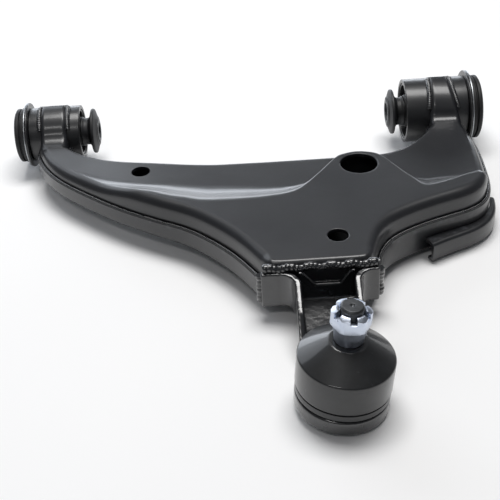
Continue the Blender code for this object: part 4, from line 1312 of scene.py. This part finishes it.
# Castle nut. A slotted hexagon on a conical seat, hot forged, machined and bright zinc plated.
NUT_ACROSS_FLATS = 0.024
NUT_CORNER_RADIUS = 0.0133
NUT_SEAT_RADIUS = 0.0096
NUT_SLOT_WIDTH = 0.0045
NUT_SLOT_DEPTH = 0.0048
NUT_TURN = math.radians(-1.0)
nut_bore = STUD_RADIUS + TUBE_GAP
nut = turned(
    "slotted_nut",
    (
        (nut_bore, NUT_TOP - 0.0008),
        (nut_bore + 0.0008, NUT_TOP),
        (NUT_ACROSS_FLATS / 2 - 0.002, NUT_TOP),
        (NUT_CORNER_RADIUS, NUT_TOP - 0.002),
        (NUT_CORNER_RADIUS, NUT_SHOULDER),
        (NUT_ACROSS_FLATS / 2 - 0.0005, NUT_SHOULDER - 0.0008),
        (NUT_SEAT_RADIUS, NUT_BASE),
        (nut_bore, NUT_BASE),
    ),
    joint_base,
    joint_axis,
    steps=96,
    bend=0.0003,
    bends=2,
)


def nut_block(low, high, turn):
    """A square cutter set out on the joint's own axis, turned round it."""
    shape = bmesh.new()
    side_way = np.cross((0.0, 1.0, 0.0), joint_axis)
    side_way /= np.linalg.norm(side_way)
    front_way = np.cross(joint_axis, side_way)
    out_way = math.cos(turn) * side_way + math.sin(turn) * front_way
    along_way = np.cross(joint_axis, out_way)
    corners = []
    for z in (low[2], high[2]):
        for x, y in ((low[0], low[1]), (high[0], low[1]), (high[0], high[1]), (low[0], high[1])):
            corners.append(shape.verts.new(joint_base + x * out_way + y * along_way + z * joint_axis))
    for numbers in ((3, 2, 1, 0), (4, 5, 6, 7), (0, 1, 5, 4), (1, 2, 6, 5), (2, 3, 7, 6), (3, 0, 4, 7)):
        shape.faces.new([corners[n] for n in numbers])
    return from_faces("nut_block", shape)


NUT_CUT_HALF = 0.02
nut_cut_top = NUT_TOP + 0.01
flat_low = (NUT_ACROSS_FLATS / 2, -NUT_CUT_HALF, NUT_SHOULDER - 0.0008)
flat_high = (NUT_ACROSS_FLATS, NUT_CUT_HALF, nut_cut_top)
slot_low = (-NUT_CUT_HALF, -NUT_SLOT_WIDTH / 2, NUT_TOP - NUT_SLOT_DEPTH)
slot_high = (NUT_CUT_HALF, NUT_SLOT_WIDTH / 2, nut_cut_top)
nut_cutters = [
    nut_block(low, high, NUT_TURN + math.radians(30 + 60 * i))
    for low, high, count in ((flat_low, flat_high, 6), (slot_low, slot_high, 3))
    for i in range(count)
]
taken_from(nut, *nut_cutters)
chamfer = nut.modifiers.new("broken_edges", "BEVEL")
chamfer.width = 0.00022
chamfer.segments = 2
chamfer.limit_method = "ANGLE"
chamfer.angle_limit = math.radians(40.0)
made_solid(nut, 30.0)
put_away(*nut_cutters)
fitted(nut, zinc, "stud", "zinc", "castle_nut")

# Weld beads. Rippled arc welds along the tray's seam, round each leg end on its tube and where the
# carrier's wings meet the nose, all painted over with the arm.
BEAD_PITCH = 0.0017
BEAD_STEP = BEAD_PITCH / 5


def bead_tree():
    """Sweeps a round bead along a path, swelling at each ripple."""
    tree = bpy.data.node_groups.new("weld_bead", "GeometryNodeTree")
    sockets = tree.interface
    sockets.new_socket("Path", in_out="INPUT", socket_type="NodeSocketGeometry")
    for name in ("Radius", "Ripple Pitch", "Ripple Depth", "Wander"):
        sockets.new_socket(name, in_out="INPUT", socket_type="NodeSocketFloat")
    sockets.new_socket("Paint", in_out="INPUT", socket_type="NodeSocketMaterial")
    sockets.new_socket("Bead", in_out="OUTPUT", socket_type="NodeSocketGeometry")

    def node(kind, settings, values):
        made = tree.nodes.new(kind)
        for name, value in settings.items():
            setattr(made, name, value)
        for name, value in values.items():
            if isinstance(value, bpy.types.NodeSocket):
                tree.links.new(value, made.inputs[name])
            else:
                made.inputs[name].default_value = value
        return made

    def maths(operation, first, second=0.0):
        return node("ShaderNodeMath", {"operation": operation}, {0: first, 1: second}).outputs[0]

    given = node("NodeGroupInput", {}, {}).outputs
    path = node("GeometryNodeMeshToCurve", {}, {"Mesh": given["Path"]}).outputs[0]
    stepped = node("GeometryNodeResampleCurve", {"mode": "LENGTH"}, {"Curve": path, "Length": BEAD_STEP})
    along = maths("MULTIPLY", node("GeometryNodeInputIndex", {}, {}).outputs[0], BEAD_STEP)
    turn = maths("DIVIDE", along, given["Ripple Pitch"])
    ripple = maths("ABSOLUTE", maths("SINE", maths("MULTIPLY", turn, math.pi)))
    noise = node(
        "ShaderNodeTexNoise",
        {"noise_dimensions": "1D"},
        {"W": maths("MULTIPLY", along, 120.0), "Scale": 1.0, "Detail": 2.0},
    )
    swell = maths("ADD", 1.0, maths("MULTIPLY", ripple, given["Ripple Depth"]))
    wander = maths("MULTIPLY", maths("SUBTRACT", noise.outputs[0], 0.5), given["Wander"])
    radius = maths("MULTIPLY", given["Radius"], maths("ADD", swell, wander))
    circle = node("GeometryNodeCurvePrimitiveCircle", {}, {"Resolution": 12, "Radius": 1.0})
    swept = node(
        "GeometryNodeCurveToMesh",
        {},
        {"Curve": stepped.outputs[0], "Profile Curve": circle.outputs[0], "Scale": radius, "Fill Caps": True},
    )
    real = node("GeometryNodeRealizeInstances", {}, {"Geometry": swept.outputs[0]})
    painted = node("GeometryNodeSetMaterial", {}, {"Geometry": real.outputs[0], "Material": given["Paint"]})
    out = tree.nodes.new("NodeGroupOutput")
    tree.links.new(painted.outputs[0], out.inputs[0])
    return tree


weld_tree = bead_tree()


def weld(name, paths, radius, ripple=0.16, wander=0.22, pitch=BEAD_PITCH):
    """One weld run, or several of one piece, as a plain painted mesh on the arm."""
    points = []
    edges = []
    for path in paths:
        start = len(points)
        points += [tuple(joint_base + np.asarray(point)) for point in path]
        edges += [(start + i, start + i + 1) for i in range(len(path) - 1)]
    mesh = bpy.data.meshes.new(name)
    mesh.from_pydata(points, edges, [])
    bead = linked(name, mesh)
    step = bead.modifiers.new("bead", "NODES")
    step.node_group = weld_tree
    named = {item.name: item.identifier for item in weld_tree.interface.items_tree if item.in_out == "INPUT"}
    step[named["Radius"]] = radius
    step[named["Ripple Pitch"]] = pitch
    step[named["Ripple Depth"]] = ripple
    step[named["Wander"]] = wander
    step[named["Paint"]] = gloss.material
    made_solid(bead, 60.0)
    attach(bead, "arm")


def over_the_tube(columns_of_leg):
    """Path of the weld on a tube: up one side of the leg end, across its top and down the other."""
    inner, outer, y, z, facing_y, facing_z = columns_of_leg[9:].T
    side = np.sign(outer - inner)
    y = y - facing_y * SHEET * 0.8
    z = z - facing_z * SHEET * 0.8
    up = list(zip(inner - side * 0.0007, y, z))
    down = list(zip(outer + side * 0.0007, y, z))[::-1]
    top = [(x, PIVOT_REACH + 0.0012, z[-1]) for x in np.linspace(inner[-1], outer[-1], 12)]
    return up + top + down


weld("rear_leg_weld", [over_the_tube(rear_end[::-1])], 0.0021)
weld("front_leg_weld", [over_the_tube(front_end)], 0.0021)
seam_columns = slice(6, -6)
weld(
    "seam_weld",
    [
        lifted(beside(shell_back, -0.0012)[seam_columns], SEAM_HEIGHT + 0.0002),
        lifted(beside(shell_edge, 0.0012)[seam_columns], SEAM_HEIGHT + 0.0002),
    ],
    0.0014,
)
wing_left_end = -NECK_HALF_WIDTH - WING_LEFT
wing_right_end = NECK_HALF_WIDTH + WING_RIGHT
wing_rise = np.linspace(WING_FLOOR + 0.003, WING_HEIGHT - 0.004, 16)
weld(
    "nose_weld",
    [
        [
            (x, carrier_face - 0.0006, WING_HEIGHT + 0.0014 + 0.0008 * math.sin(410.0 * x))
            for x in np.linspace(wing_left_end + 0.002, wing_right_end - 0.001, 60)
        ],
        [(wing_left_end - 0.0004, carrier_face, z) for z in wing_rise],
        [(wing_right_end + 0.0004, carrier_face, z) for z in wing_rise],
    ],
    0.0029,
    ripple=0.13,
    wander=0.6,
    pitch=0.0034,
)
weld(
    "notch_weld",
    [
        [
            (-0.0175, carrier_front - 0.0004, WING_HEIGHT - 0.001),
            (-0.0082, carrier_front - 0.0004, 0.0292),
            (0.0102, carrier_front - 0.0004, 0.0292),
            (0.0175, carrier_front - 0.0004, WING_HEIGHT - 0.001),
        ]
    ],
    0.0011,
)
